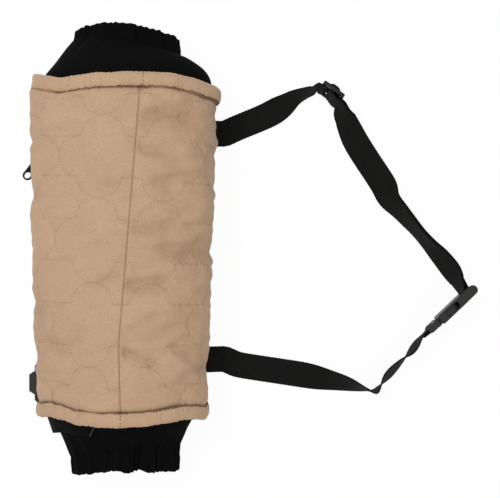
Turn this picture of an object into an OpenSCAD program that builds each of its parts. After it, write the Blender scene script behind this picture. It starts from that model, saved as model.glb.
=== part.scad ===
// Hand warmer muff: a quilted tube with fleece cuffs, a zipped pocket and a webbing waist strap.
// It lies on its back: +Z is up, +Y runs along the hand passage, the strap lies on the +X side.
// The origin is the middle of the flat back. All sizes are in millimetres and degrees.

/* [Body] */
// Half width of the padded body at mid length
body_half_w = 82.5; // [78:0.5:88]
// Length of the tan body, hems included
body_len = 310; // [300:1:330]
// Height of the widest line above the back
mid_z = 42; // [40:0.5:46]
// Rise of the crown above the widest line
crown_rise = 53; // [48:0.5:60]
// Growth of the half width for each millimetre towards the upper end
taper = 0.03; // [0:0.005:0.04]
// Sideways drift of the section for each millimetre towards the upper end
lean = 0.011; // [0:0.001:0.015]
// Slant of the upper end, drop for each millimetre towards +X
end_slant = 0.075; // [0:0.005:0.1]
// Thickness of the brushed outer cloth
shell_t = 1.2; // [0.8:0.1:1.6]
// Thickness of the quilted padding
batting_t = 6; // [4:0.5:8]
// Thickness of the fleece lining
lining_t = 2; // [1.5:0.1:3]
// Height of the puffs between the quilting lines
puff_h = 2.4; // [0:0.1:3]
// Width of one quilted quatrefoil
quilt_w = 76; // [60:1:90]
// Height of one quilted quatrefoil
quilt_h = 73.6; // [60:0.2:90]
// Loose space left between sewn layers
soft_gap = 0.6; // [0.5:0.05:0.8]
// Space left where two sewn edges meet
sewn_gap = 0.3; // [0.2:0.05:0.4]

/* [Hems and cuffs] */
// Width of a rolled hem
hem_w = 13; // [10:0.5:16]
// Thickness of a rolled hem
hem_t = 6.5; // [5:0.5:8]
// How far a hem stands proud of the body
hem_proud = 1.5; // [0.5:0.1:2]
// Length of a cuff beyond its hem
cuff_len = 50; // [40:1:60]
// Thickness of the cuff fleece
cuff_t = 2; // [1.5:0.1:2.5]
// Half width of the gathered cuff mouth
mouth_half_w = 50; // [44:1:58]
// Half height of the gathered cuff mouth
mouth_half_h = 28; // [24:1:30]
// Number of gathers round a cuff mouth
gathers = 16; // [10:1:20]
// Depth of the gathers
gather_depth = 1.6; // [0:0.1:2]
// Width of the elastic in a cuff
elastic_w = 9; // [6:0.5:12]
// Thickness of the elastic
elastic_t = 1.5; // [1:0.1:2]

/* [Zipped pocket] */
// Length of the zip
zip_len = 184; // [150:2:200]
// Width of one zip tape
tape_w = 6; // [5:0.1:6.2]
// Thickness of a zip tape
tape_t = 0.6; // [0.4:0.05:0.8]
// Pitch of the teeth on one tape
tooth_pitch = 2.8; // [2.6:0.1:3.4]
// Thickness of a tooth
tooth_t = 2.4; // [2:0.1:2.6]
// Length of the puller from its crossbar to its ring
puller_len = 30; // [24:0.5:32]
// Radius of the hole in the puller's ring
puller_hole_r = 3.2; // [2.6:0.1:3.4]
// Thickness of the puller
puller_t = 1.8; // [1.4:0.1:2]

/* [Webbing and hardware] */
// Width of the webbing
web_w = 25; // [20:0.5:25.5]
// Thickness of the webbing
web_t = 1.6; // [1.2:0.05:1.6]
// Radius of the bars that webbing is sewn round
bar_r = 2; // [1.6:0.1:2]
// Width of the side release buckle
buckle_w = 33; // [32.5:0.5:36]
// Thickness of the side release buckle
buckle_t = 9.5; // [9:0.5:12]
// Length of the buckle's socket shell
socket_len = 32; // [30:1:36]
// Wall of the buckle's socket
socket_wall = 2; // [1.8:0.1:2.4]
// Width of the strap adjuster
adjuster_w = 31; // [30:0.5:34]
// Thickness of the strap adjuster
adjuster_t = 3.2; // [2.6:0.1:3.6]
// Width of the ladder lock
ladder_w = 38; // [34:1:40]
// Length of the ladder lock without its thumb lip
ladder_len = 18.5; // [18:0.5:20]
// Thickness of the ladder lock
ladder_t = 4; // [3.4:0.1:4.4]

/* [Hidden] */

$fn = 36;
turn = 360;
half_len = body_len / 2;
inner_end = half_len - hem_w - sewn_gap;
crown_n = 2.2;
back_n = 3;
back_press = 2;
low_drop = mid_z + back_press;
seam_gap_deg = 0.1;
tan_cloth = "#b89a7e";
black_fleece = "#141414";
black_web = "#1c1c1c";
black_plastic = "#2a2a2a";

// Layers counted inwards from the outer face of the shell
batting_d = shell_t + soft_gap;
pocket_t = 1.2;
pocket_d = batting_d + batting_t + soft_gap;
lining_d = pocket_d + pocket_t + soft_gap;
hem_inner_d = hem_t - hem_proud;
cuff_root_d = hem_inner_d + soft_gap;

// Front seam, which wanders across the crown
seam_low_x = 3;
seam_run_x = 19;
seam_start_y = -88;
seam_run_y = 230;

// Zip, on the lower left corner of the section
zip_t = 212;
zip_half_deg = 10.5;
slit_half_deg = 15;
zip_mid_y = 12;
zip_lo_y = zip_mid_y - zip_len / 2;
zip_hi_y = zip_mid_y + zip_len / 2;
zip_taper = 4;
zip_depth = 0.6;

function clamp01(v) = min(1, max(0, v));
function mix(a, b, k) = a + (b - a) * k;
function unit(v) = v / norm(v);
function power(c, n) = sign(c) * pow(abs(c), 2 / n);
function reverse(list) = [for (i = [len(list) - 1:-1:0]) list[i]];
function spread(a, b, n) = [for (i = [0:n]) mix(a, b, i / n)];

// Section of the body at length y, sunk by d: a round crown over a squarer back, pressed flat at z = d
function half_width(y) = body_half_w + taper * y;
function lean_x(y) = lean * y;
function slant_y(x, y) = y - end_slant * x * clamp01((y + half_len) / body_len);
function section(t, y, d) =
    let (up = sin(t) >= 0)
    let (rise = (up ? crown_rise : low_drop) - d)
    let (n = up ? crown_n : back_n)
    let (x = lean_x(y) + (half_width(y) - d) * power(cos(t), n))
    [x, slant_y(x, y), max(d, 0, mid_z + rise * power(sin(t), n))];

function seam_x(y) = seam_low_x + seam_run_x * clamp01((y - seam_start_y) / seam_run_y);
function seam_t(y) = acos(pow(max(seam_x(y) - lean_x(y), 0) / half_width(y), crown_n / 2));

// Quilting: touching quatrefoils, each four half circles on the sides of a square, with straight links.
// Each panel has its own lattice: the place of a quatrefoil's middle in x, and its drift along y.
quilt_y0 = 7;
quilt_left = [-17.5, 0.06];
quilt_right = [37, 0.095];
function in_cell(v, p) = abs(v - p * round(v / p)) / (p / 2);
function quilt_distance(x, y) =
    let (lattice = x < seam_x(y) ? quilt_left : quilt_right)
    let (a = in_cell(x - lattice[0] - lattice[1] * (y - quilt_y0), quilt_w))
    let (b = in_cell(y - quilt_y0, quilt_h))
    let (corner = norm([a - 0.5, b - 0.5]))
    let (side = a < 0.5 ? corner : abs(norm([a - 0.5, b]) - 0.5))
    let (top = b < 0.5 ? corner : abs(norm([a, b - 0.5]) - 0.5))
    let (link = a < 0.5 ? corner : abs(b - 0.5))
    quilt_h / 2 * min(side, top, link);

// Puffs: none on the quilting lines or on the back, full away from them
puff_reach = 9;
puff_fade_z = 16;
function puff(p) =
    let (k = quilt_distance(p[0], p[1]) / puff_reach)
    puff_h * (1 - exp(-k * k)) * clamp01((p[2] - puff_fade_z / 2) / puff_fade_z);
function puffed(t, y) = section(t, y, -puff(section(t, y, 0)));

// Solids from two grids of points, rows along +Y and columns round the section
function quad(a, b, c, d) = [[a, b, c], [a, c, d]];
function flat_list(rows) = [for (row = rows) each row];
module layer_solid(outer, inner, closed) {
    rows = len(outer);
    cols = len(outer[0]);
    skin = rows * cols;
    last = closed ? cols - 1 : cols - 2;
    function o(i, j) = i * cols + j % cols;
    function n(i, j) = skin + o(i, j);
    walls = [for (i = [0:rows - 2], j = [0:last]) each concat(
        quad(o(i, j), o(i, j + 1), o(i + 1, j + 1), o(i + 1, j)),
        quad(n(i, j), n(i + 1, j), n(i + 1, j + 1), n(i, j + 1)))];
    ends = [for (j = [0:last]) each concat(
        quad(o(0, j + 1), o(0, j), n(0, j), n(0, j + 1)),
        quad(o(rows - 1, j), o(rows - 1, j + 1), n(rows - 1, j + 1), n(rows - 1, j)))];
    sides = closed ? [] : [for (i = [0:rows - 2]) each concat(
        quad(o(i, 0), o(i + 1, 0), n(i + 1, 0), n(i, 0)),
        quad(o(i + 1, cols - 1), o(i, cols - 1), n(i, cols - 1), n(i + 1, cols - 1)))];
    polyhedron(concat(flat_list(outer), flat_list(inner)), concat(walls, ends, sides), convexity = 8);
}

// A ring closed both ways, such as a rolled hem
module ring_solid(rows_grid) {
    rows = len(rows_grid);
    cols = len(rows_grid[0]);
    function o(i, j) = (i % rows) * cols + j % cols;
    faces = [for (i = [0:rows - 1], j = [0:cols - 1])
        each quad(o(i, j), o(i, j + 1), o(i + 1, j + 1), o(i + 1, j))];
    polyhedron(flat_list(rows_grid), faces, convexity = 8);
}

// A flat band swept along a path, with a unit vector across the band at each point
module ribbon(path, across, width, thick) {
    n = len(path) - 1;
    function along(i) = unit(path[min(i + 1, n)] - path[max(i - 1, 0)]);
    function up(i) = unit(cross(along(i), across[i]));
    function corner(i, a, b) = path[i] + across[i] * a * width / 2 + up(i) * b * thick / 2;
    points = [for (i = [0:n]) each [corner(i, 1, 1), corner(i, -1, 1), corner(i, -1, -1), corner(i, 1, -1)]];
    function at(i, k) = 4 * i + k % 4;
    walls = [for (i = [0:n - 1]) each concat(
        quad(at(i, 0), at(i + 1, 0), at(i + 1, 1), at(i, 1)),
        quad(at(i, 1), at(i + 1, 1), at(i + 1, 2), at(i, 2)),
        quad(at(i + 1, 2), at(i + 1, 3), at(i, 3), at(i, 2)),
        quad(at(i, 3), at(i + 1, 3), at(i + 1, 0), at(i, 0)))];
    caps = concat(quad(0, 1, 2, 3), quad(at(n, 3), at(n, 2), at(n, 1), at(n, 0)));
    polyhedron(points, concat(walls, caps), convexity = 8);
}

// Shell, padding and lining
end_rows = 4;
zip_rows = 15;
shell_ys = concat(spread(-inner_end, zip_lo_y - zip_taper, end_rows), spread(zip_lo_y, zip_hi_y, zip_rows),
    spread(zip_hi_y + zip_taper, inner_end, end_rows - 1));
left_cols = 18;
right_cols = 22;
function zip_gap(y) =
    mix(seam_gap_deg, zip_half_deg, clamp01(min(y - zip_lo_y, zip_hi_y - y) / zip_taper + 1));
module shell_panel(start, stop, cols) {
    layer_solid(
        [for (y = shell_ys) [for (k = [0:cols]) puffed(mix(start(y), stop(y), k / cols), y)]],
        [for (y = shell_ys) [for (k = [0:cols]) section(mix(start(y), stop(y), k / cols), y, shell_t)]],
        false);
}
module shell_left_panel()
    color(tan_cloth)
    shell_panel(function(y) seam_t(y) + seam_gap_deg, function(y) zip_t - zip_gap(y), left_cols);
module shell_right_panel()
    color(tan_cloth)
    shell_panel(function(y) zip_t + zip_gap(y), function(y) turn + seam_t(y) - seam_gap_deg, right_cols);

plain_rows = 3;
plain_cols = 46;
pocket_cols = 18;
module plain_layer(d0, d1, start, stop, y0, y1, closed, cols) {
    ys = spread(y0, y1, plain_rows);
    all_round = [for (k = [0:cols - 1]) start + turn * k / cols];
    ts = closed ? all_round : spread(start, stop, cols);
    layer_solid([for (y = ys) [for (t = ts) section(t, y, d0)]],
        [for (y = ys) [for (t = ts) section(t, y, d1)]], closed);
}
module batting()
    color("whitesmoke")
    plain_layer(batting_d, batting_d + batting_t, zip_t + slit_half_deg, zip_t + turn - slit_half_deg,
        -inner_end, inner_end, false, plain_cols);
module lining()
    color(black_fleece)
    plain_layer(lining_d, lining_d + lining_t, 0, turn, -inner_end, inner_end, true, plain_cols);

pocket_start = 172;
pocket_stop = 246;
pocket_margin = 6;
module pocket_bag()
    color("dimgray")
    plain_layer(pocket_d, pocket_d + pocket_t, pocket_start, pocket_stop, zip_lo_y - pocket_margin,
        zip_hi_y + pocket_margin, false, pocket_cols);

// Rolled hems: an oval bead that follows the section, slightly puckered
hem_sides = 8;
hem_cols = 48;
hem_puckers = 16;
hem_pucker = 0.35;
module hem(y_mid)
    ring_solid([for (i = [0:hem_sides - 1])
        let (q = turn * i / hem_sides)
        [for (j = [0:hem_cols - 1])
            let (t = turn * j / hem_cols)
            let (pucker = hem_pucker * cos(hem_puckers * t) * (q < 90 || q > 270 ? 1 : 0))
            section(t, y_mid + hem_w / 2 * sin(q),
                hem_t / 2 - hem_proud - (hem_t / 2) * cos(q) - pucker * clamp01(sin(t) + 0.5))]]);
module upper_hem() color(tan_cloth) hem(half_len - hem_w / 2);
module lower_hem() color(tan_cloth) hem(hem_w / 2 - half_len);

// Cuffs: a fleece tube that leaves the hem and gathers to an oval mouth
cuff_rows = 5;
cuff_cols = 64;
cuff_root_in = hem_w - 1;
cuff_run = cuff_len + cuff_root_in;
mouth_z = mouth_half_h + 5;
upper_mouth_x = 4;
lower_mouth_x = 1;
mouth_slant = 0.09;

// The neck runs from where the cuff leaves its hem; the upper cuff has a wider shoulder on the strap side
upper_ready = 0.64;
lower_ready = 0.74;
shoulder_wait = 0.12;
shoulder_late = 0.06;
neck_ease = 0.45;
function neck(side, t, w) =
    let (shoulder = clamp01(side) * (1 + cos(t)) / 2)
    let (begin = cuff_root_in / cuff_run + shoulder_wait * shoulder)
    let (ready = (side > 0 ? upper_ready : lower_ready) + shoulder_late * shoulder)
    let (c = clamp01((w - begin) / (ready - begin)))
    mix(c, c * c * (3 - 2 * c), neck_ease);
function cuff_y(side, w) = side * mix(half_len - cuff_root_in, half_len + cuff_len, w);
function mouth_point(side, t, y, d) =
    let (x = (mouth_half_w - d) * cos(t))
    let (middle = side > 0 ? upper_mouth_x : lower_mouth_x)
    [middle + x, y - mouth_slant * x * clamp01(side), mouth_z + (mouth_half_h - d) * sin(t)];
function cuff_point(side, t, w, d) =
    let (k = neck(side, t, w))
    let (fold = gather_depth * k * cos(gathers * t))
    let (y = cuff_y(side, w))
    mix(section(t, y, cuff_root_d + d), mouth_point(side, t, y, d - fold), k);
module cuff_layer(side, w0, w1, d0, d1, rows) {
    ws = side > 0 ? spread(w0, w1, rows) : spread(w1, w0, rows);
    ts = [for (k = [0:cuff_cols - 1]) turn * k / cuff_cols];
    layer_solid([for (w = ws) [for (t = ts) cuff_point(side, t, w, d0)]],
        [for (w = ws) [for (t = ts) cuff_point(side, t, w, d1)]], true);
}
module upper_cuff() color(black_fleece) cuff_layer(1, 0, 1, 0, cuff_t, cuff_rows);
module lower_cuff() color(black_fleece) cuff_layer(-1, 0, 1, 0, cuff_t, cuff_rows);

elastic_inset = 4;
elastic_d = cuff_t + soft_gap;
elastic_w1 = 1 - elastic_inset / cuff_run;
elastic_w0 = elastic_w1 - elastic_w / cuff_run;
module upper_cuff_elastic()
    color("white")
    cuff_layer(1, elastic_w0, elastic_w1, elastic_d, elastic_d + elastic_t, 1);
module lower_cuff_elastic()
    color("white")
    cuff_layer(-1, elastic_w0, elastic_w1, elastic_d, elastic_d + elastic_t, 1);

// Tape sewn into the lower hem, lying over the shoulder of the cuff
tab_start_col = 18;
tab_stop_col = 31;
tab_t = 1.2;
tab_len = 13;
module hem_tape_tab() {
    w0 = (cuff_root_in + sewn_gap) / cuff_run;
    w1 = (cuff_root_in + sewn_gap + tab_len) / cuff_run;
    ws = spread(w1, w0, 3);
    ts = [for (k = [tab_start_col:tab_stop_col]) turn * k / cuff_cols];
    lift = 3 * sewn_gap;
    color(black_web)
    layer_solid([for (w = ws) [for (t = ts) cuff_point(-1, t, w, -lift - tab_t)]],
        [for (w = ws) [for (t = ts) cuff_point(-1, t, w, -lift)]], false);
}

// Frame of the zip: x across it towards the crown, y along it, z out of the shell
zip_a = section(zip_t, zip_lo_y, zip_depth);
zip_b = section(zip_t, zip_hi_y, zip_depth);
zip_c = (zip_a + zip_b) / 2;
zip_run = unit(zip_b - zip_a);
zip_yaw = -atan(zip_run[0] / zip_run[1]);
zip_tilt = 224;
zip_real_len = norm(zip_b - zip_a);
module in_zip() translate(zip_c) rotate([0, 0, zip_yaw]) rotate([0, zip_tilt, 0]) children();

// The closed teeth end just behind the post of the slider
slider_len = 13;
slider_y = zip_real_len / 2 - 12;
post_len = 3;
tape_gap = 1;
tooth_len = 1.2;
tooth_reach = 3.2;
tooth_cross = 0.9;
tooth_edge = 4;
teeth_run = zip_real_len / 2 + slider_y + slider_len / 2 - post_len - tooth_edge;
tooth_n = floor(teeth_run / tooth_pitch - 0.4);
module zip_tape(side)
    in_zip()
    translate([side > 0 ? tape_gap : -tape_gap - tape_w + tape_gap, -zip_real_len / 2, -tape_t / 2])
    cube([tape_w - tape_gap, zip_real_len, tape_t]);
module zip_tape_left() color("#8c7357") zip_tape(1);
module zip_tape_right() color("#8c7357") zip_tape(-1);

// Each tooth clamps the edge of its tape, so it is an upper and a lower jaw with a bead between the tapes
module zip_tooth(side) {
    for (face = [0, 1])
        mirror([0, 0, face])
        translate([side > 0 ? -tooth_cross : -tooth_reach, -tooth_len / 2, tape_t / 2])
        cube([tooth_reach + tooth_cross, tooth_len, (tooth_t - tape_t) / 2]);
    translate([side > 0 ? -tooth_cross : -tape_gap, -tooth_len / 2, -tape_t / 2])
    cube([tape_gap + tooth_cross, tooth_len, tape_t]);
}
module zip_teeth(side)
    in_zip()
    for (i = [0:tooth_n - 1])
        translate([0, tooth_edge - zip_real_len / 2 + (i + (side > 0 ? 0.25 : 0.75)) * tooth_pitch, 0])
        zip_tooth(side);
module zip_teeth_left() color("#3a3026") zip_teeth(1);
module zip_teeth_right() color("#3a3026") zip_teeth(-1);

stop_len = 2.4;
module zip_stops()
    color("#3a3026")
    in_zip()
    for (end = [-1, 1])
        translate([-tooth_reach, end * (zip_real_len / 2 - stop_len / 2) - stop_len / 2, tape_t / 2])
        cube([2 * tooth_reach, stop_len, (tooth_t - tape_t) / 2]);

// Slider: two plates joined by a post ahead of the teeth, flanges, and a bridge for the puller
slider_w = 9;
slider_plate = 1.4;
slider_clear = 0.3;
slider_wall = 0.9;
slider_inside = tooth_t / 2 + slider_clear;
slider_top = slider_inside + slider_plate;
bridge_w = 2.4;
bridge_leg = 1.2;
bridge_span = 10.5;
bridge_room = 2.7;
crossbar_r = 0.8;
crossbar_y = -2;
crossbar_z = slider_top + bridge_room / 2;
module slider_plate_outline(w, l) hull() for (x = [-1, 1], y = [-1, 1])
    translate([x * (w / 2 - 2), y * (l / 2 - 2)]) circle(2, $fn = 24);
module zip_slider() {
    color(black_plastic)
    in_zip()
    translate([0, slider_y, 0]) {
        for (face = [0, 1])
            mirror([0, 0, face]) {
                translate([0, 0, slider_inside])
                linear_extrude(slider_plate) slider_plate_outline(slider_w, slider_len);
                for (side = [-1, 1])
                    translate([side * (slider_w / 2 - slider_wall / 2) - slider_wall / 2,
                        -slider_len / 2 + 2, tape_t / 2 + slider_clear])
                    cube([slider_wall, slider_len - 4, slider_inside - tape_t / 2]);
            }
        translate([-tape_gap + slider_clear, slider_len / 2 - post_len, -slider_top])
        cube([2 * (tape_gap - slider_clear), post_len, 2 * slider_top]);
        difference() {
            translate([-bridge_w / 2, -bridge_span / 2, slider_top - slider_plate / 2])
            cube([bridge_w, bridge_span, bridge_room + bridge_leg + slider_plate / 2]);
            translate([-bridge_w, -bridge_span / 2 + bridge_leg, slider_top])
            cube([2 * bridge_w, bridge_span - 2 * bridge_leg, bridge_room]);
        }
    }
}

// Puller: a crossbar held under the bridge, two prongs, a tapered blade and a ring
puller_yaw = 30;
puller_lift = 25;
prong_inside = 6;
prong_w = 1.2;
prong_len = 5.5;
ring_wall = 1.6;
module in_puller()
    in_zip()
    translate([0, slider_y + crossbar_y, crossbar_z])
    rotate([0, 0, puller_yaw])
    rotate([-puller_lift, 0, 0])
    children();
module zip_puller() {
    ring_r = puller_hole_r + ring_wall;
    neck_w = prong_inside + 2 * prong_w;
    color(black_plastic)
    in_puller() {
        rotate([0, 90, 0])
        translate([0, 0, -neck_w / 2])
        cylinder(r = crossbar_r, h = neck_w);
        for (side = [-1, 1])
            translate([side * (prong_inside + prong_w) / 2 - prong_w / 2, -prong_len, -puller_t / 2])
            cube([prong_w, prong_len, puller_t]);
        difference() {
            translate([0, 0, -puller_t / 2])
            linear_extrude(puller_t)
            polygon(concat(
                [[neck_w / 2, -prong_len], [-neck_w / 2, -prong_len]],
                [for (a = [190:20:350]) [ring_r * cos(a), -puller_len + ring_r * sin(a)]]));
            translate([0, -puller_len, -puller_t])
            cylinder(r = puller_hole_r, h = 3 * puller_t);
        }
    }
}

// Anchors: webbing sewn to the lower right corner of the section, sloping down to where the strap swings
hinge_x = 88;
hinge_z = 5;
hinge_gap = 0.3;
upper_anchor_y = 111.5;
lower_anchor_y = -106.5;
anchor_d = -(soft_gap + web_t / 2 + sewn_gap);
anchor_sewn_t = [308, 314];
anchor_slope = [[12, 3], [6, 1.8]];
module anchor(y) {
    path = concat([for (t = anchor_sewn_t) section(t, y, anchor_d)],
        [for (p = anchor_slope) [hinge_x - p[0], y, hinge_z + p[1]]],
        [[hinge_x - hinge_gap, y, hinge_z]]);
    level = [for (p = path) [p[0], y, p[2]]];
    color(black_web)
    ribbon(level, [for (p = level) [0, 1, 0]], web_w, web_t);
}
module upper_anchor() anchor(upper_anchor_y);
module lower_anchor() anchor(lower_anchor_y);

// A band laid along route points [x, y, z, roll]: roll 0 lies flat, roll 90 stands on edge
layer_gap = 0.3;
double_gap = 0.7;
layer_step = (web_t + double_gap) / 2;
function curve_point(r, i, u) =
    let (a = r[max(i - 1, 0)], b = r[i], c = r[i + 1], d = r[min(i + 2, len(r) - 1)])
    b + 0.5 * ((c - a) * u + (2 * a - 5 * b + 4 * c - d) * u * u + (3 * b - a - 3 * c + d) * u * u * u);
function smooth(route, n) = concat(
    [for (i = [0:len(route) - 2], k = [0:n - 1]) curve_point(route, i, k / n)], [route[len(route) - 1]]);
function route_heading(route, i) =
    let (n = len(route) - 1)
    let (d = route[min(i + 1, n)] - route[max(i - 1, 0)])
    unit([d[0], d[1], 0]);
function route_left(route, i) =
    let (h = route_heading(route, i))
    [-h[1], h[0], 0];
function route_across(route, i) =
    let (r = route[i][3])
    cos(r) * route_left(route, i) + [0, 0, sin(r)];
function route_face(route, i) =
    let (r = route[i][3])
    sin(r) * route_left(route, i) - [0, 0, cos(r)];
function route_point(route, i, lift) =
    [route[i][0], route[i][1], route[i][2]] + lift * route_face(route, i);

// Strap adjuster, leaning on its side in the corner of the loop
table_gap = 0.3;
adjuster_heading = -36;
adjuster_lean = 10;
adjuster_rise = adjuster_w / 2 * cos(adjuster_lean) + adjuster_t / 2 * sin(adjuster_lean);
adjuster_at = [195.5, 148.5, adjuster_rise + table_gap];
adjuster_dir = [cos(adjuster_heading), sin(adjuster_heading), 0];
adjuster_left = [-sin(adjuster_heading), cos(adjuster_heading), 0];
adjuster_across = sin(adjuster_lean) * adjuster_left + [0, 0, cos(adjuster_lean)];
adjuster_face = cos(adjuster_lean) * adjuster_left - [0, 0, sin(adjuster_lean)];
adjuster_bar = 2.6;
adjuster_half_len = 11.8;
adjuster_mid_r = 1.3;
wrap_r = adjuster_mid_r + layer_gap + web_t / 2;
under_f = -(adjuster_t / 2 + layer_gap + web_t / 2);
over_f = wrap_r + web_t + layer_gap;
return_f = under_f - 2 * layer_step;
function adjuster_point(s, f) = adjuster_at + s * adjuster_dir + f * adjuster_face;

// Side release buckle, leaning on its side; local x runs from the socket's bar to the plug
buckle_heading = 223.5;
buckle_lean = 7.5;
buckle_rise = buckle_w / 2 * cos(buckle_lean) + buckle_t / 2 * sin(buckle_lean);
buckle_at = [324.2, -43.7, buckle_rise + table_gap];
buckle_dir = [cos(buckle_heading), sin(buckle_heading), 0];
buckle_left = [-sin(buckle_heading), cos(buckle_heading), 0];
buckle_face = cos(buckle_lean) * buckle_left + [0, 0, sin(buckle_lean)];
buckle_across = [0, 0, cos(buckle_lean)] - sin(buckle_lean) * buckle_left;
plug_bar_x = 47.5;
bar_wrap_r = bar_r + layer_gap + web_t / 2;
function buckle_point(x, y) = buckle_at + x * buckle_dir + y * buckle_face;
function bar_point(x, a) = buckle_point(x + bar_wrap_r * cos(a), bar_wrap_r * sin(a));

single_points = [[88.6, 111.5, 5, 0], [92, 111.5, 4.4, 0], [95, 112.4, 3.8, 0], [99, 114.4, 3, 0],
    [104, 116.8, 2.3, 0], [112, 120.3, 1.4, 0], [126, 126, 1.4, 0], [139, 131.8, 3.4, 9],
    [150, 138.2, 8.8, 36], [160, 144.8, 12.6, 60], [170, 149, 14.6, 73], [178, 151.5, 15.6, 79]];
double_points = [[208, 128.5, 12.4, 56], [218.5, 106, 8, 26], [230, 88, 4.6, 8], [240, 73, 4.4, 6],
    [247, 61, 7, 22], [252.5, 47, 11.6, 49], [262, 36, 13.2, 63], [271, 25.5, 13.8, 70],
    [279, 16.3, 14, 75], [289, 5, 13.9, 72], [300, -7, 13, 61], [310.5, -20.5, 13.2, 58],
    [316.8, -31.5, 15.4, 74]];
short_points = [[88.6, -106.5, 5, 0], [92, -106.5, 4.4, 0], [95, -107.3, 3.8, 0], [99, -109.2, 3, 0],
    [104, -111.4, 2.3, 0], [111, -113.2, 1.4, 0], [128, -115.9, 1.4, 0], [148, -118.9, 1.4, 0],
    [170, -122.3, 2, 2], [193, -126, 8, 32], [212, -129.8, 11.4, 53], [227, -134.2, 13.6, 75],
    [236, -136.6, 14, 88], [240.5, -134, 14, 88], [250, -121, 14, 64], [263, -107, 14.2, 72],
    [272, -97.5, 15.4, 92], [277.5, -90, 16.4, 92]];

route_steps = 2;
single_route = smooth(single_points, route_steps);
double_route = smooth(double_points, route_steps);
short_route = smooth(short_points, route_steps);
function single_path() = [for (i = [0:len(single_route) - 1]) route_point(single_route, i, 0)];
function single_across() = [for (i = [0:len(single_route) - 1]) route_across(single_route, i)];
function double_path(lift) = [for (i = [0:len(double_route) - 1]) route_point(double_route, i, lift)];
function double_across() = [for (i = [0:len(double_route) - 1]) route_across(double_route, i)];
function across_list(path, across) = [for (p = path) across];

// Threading of the adjuster: along it and out of it, from the outside to the middle bar
loop_turn = 30 - buckle_heading;
loop_step = 22.5;
thread_far = 14;
thread_near = 8.5;
thread_bend = 4.4;
module long_strap() {
    half_over = [[thread_far, under_f], [thread_near, under_f], [thread_bend, over_f / 2]];
    threading = concat(
        [for (p = half_over) adjuster_point(-p[0], p[1])],
        [adjuster_point(0, over_f)],
        [for (p = reverse(half_over)) adjuster_point(p[0], p[1])]);
    round_bar = [for (a = [loop_turn:-loop_step:loop_turn - turn / 4]) bar_point(0, a)];
    color(black_web)
    ribbon(concat(single_path(), threading, double_path(layer_step), round_bar),
        concat(single_across(), across_list(threading, adjuster_across), double_across(),
            across_list(round_bar, buckle_across)),
        web_w, web_t);
}
module strap_return() {
    sewn_end = [for (a = [20:40:260]) adjuster_point(wrap_r * cos(a), wrap_r * sin(a))];
    ease = [[thread_bend, return_f + double_gap], [thread_near, return_f], [thread_far, return_f]];
    leaving = [for (p = ease) adjuster_point(p[0], p[1])];
    round_bar = [for (a = [loop_turn - turn / 2:loop_step:loop_turn - turn / 4]) bar_point(0, a)];
    color(black_web)
    ribbon(concat(sewn_end, leaving, double_path(-layer_step), round_bar),
        concat(across_list(sewn_end, adjuster_across), across_list(leaving, adjuster_across),
            double_across(), across_list(round_bar, buckle_across)),
        web_w, web_t);
}
approach_len = 9;
sewn_len = 12;
module short_strap() {
    approach = [buckle_point(plug_bar_x + approach_len, -bar_wrap_r)];
    round_bar = [for (a = [-90:-30:-270]) bar_point(plug_bar_x, a)];
    sewn_end = [buckle_point(plug_bar_x + sewn_len / 2, bar_wrap_r),
        buckle_point(plug_bar_x + sewn_len, bar_wrap_r * 0.6)];
    tail = concat(approach, round_bar, sewn_end);
    route = [for (i = [0:len(short_route) - 1]) route_point(short_route, i, 0)];
    across = [for (i = [0:len(short_route) - 1]) route_across(short_route, i)];
    color(black_web)
    ribbon(concat(route, tail), concat(across, across_list(tail, buckle_across)), web_w, web_t);
}

adjuster_slot = adjuster_half_len - adjuster_bar;
slot_clear = 0.7;
adjuster_clear = 0.35;
corner_r = 2;
bar_sink = 0.5;
module rounded_outline(x0, x1, w, r)
    hull() for (x = [x0 + r, x1 - r], y = [r - w / 2, w / 2 - r]) translate([x, y]) circle(r, $fn = 16);
module rounded_block(x0, x1, w, t, r, edge_r) {
    intersection() {
        rotate([90, 0, 0])
        translate([0, 0, -t / 2])
        linear_extrude(t) rounded_outline(x0, x1, w, r);
        translate([0, 0, -w / 2])
        linear_extrude(w) rounded_outline(x0, x1, t, edge_r);
    }
}
module tri_glide() {
    slot_h = web_w + 2 * adjuster_clear;
    color(black_plastic)
    translate(adjuster_at)
    rotate([0, 0, adjuster_heading])
    rotate([-adjuster_lean, 0, 0]) {
        difference() {
            rounded_block(-adjuster_half_len, adjuster_half_len, adjuster_w, adjuster_t, corner_r,
                adjuster_t / 3);
            translate([-adjuster_slot, -adjuster_t, -slot_h / 2])
            cube([2 * adjuster_slot, 2 * adjuster_t, slot_h]);
        }
        translate([0, 0, -slot_h / 2 - bar_sink])
        cylinder(r = adjuster_mid_r, h = slot_h + 2 * bar_sink);
    }
}

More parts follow.
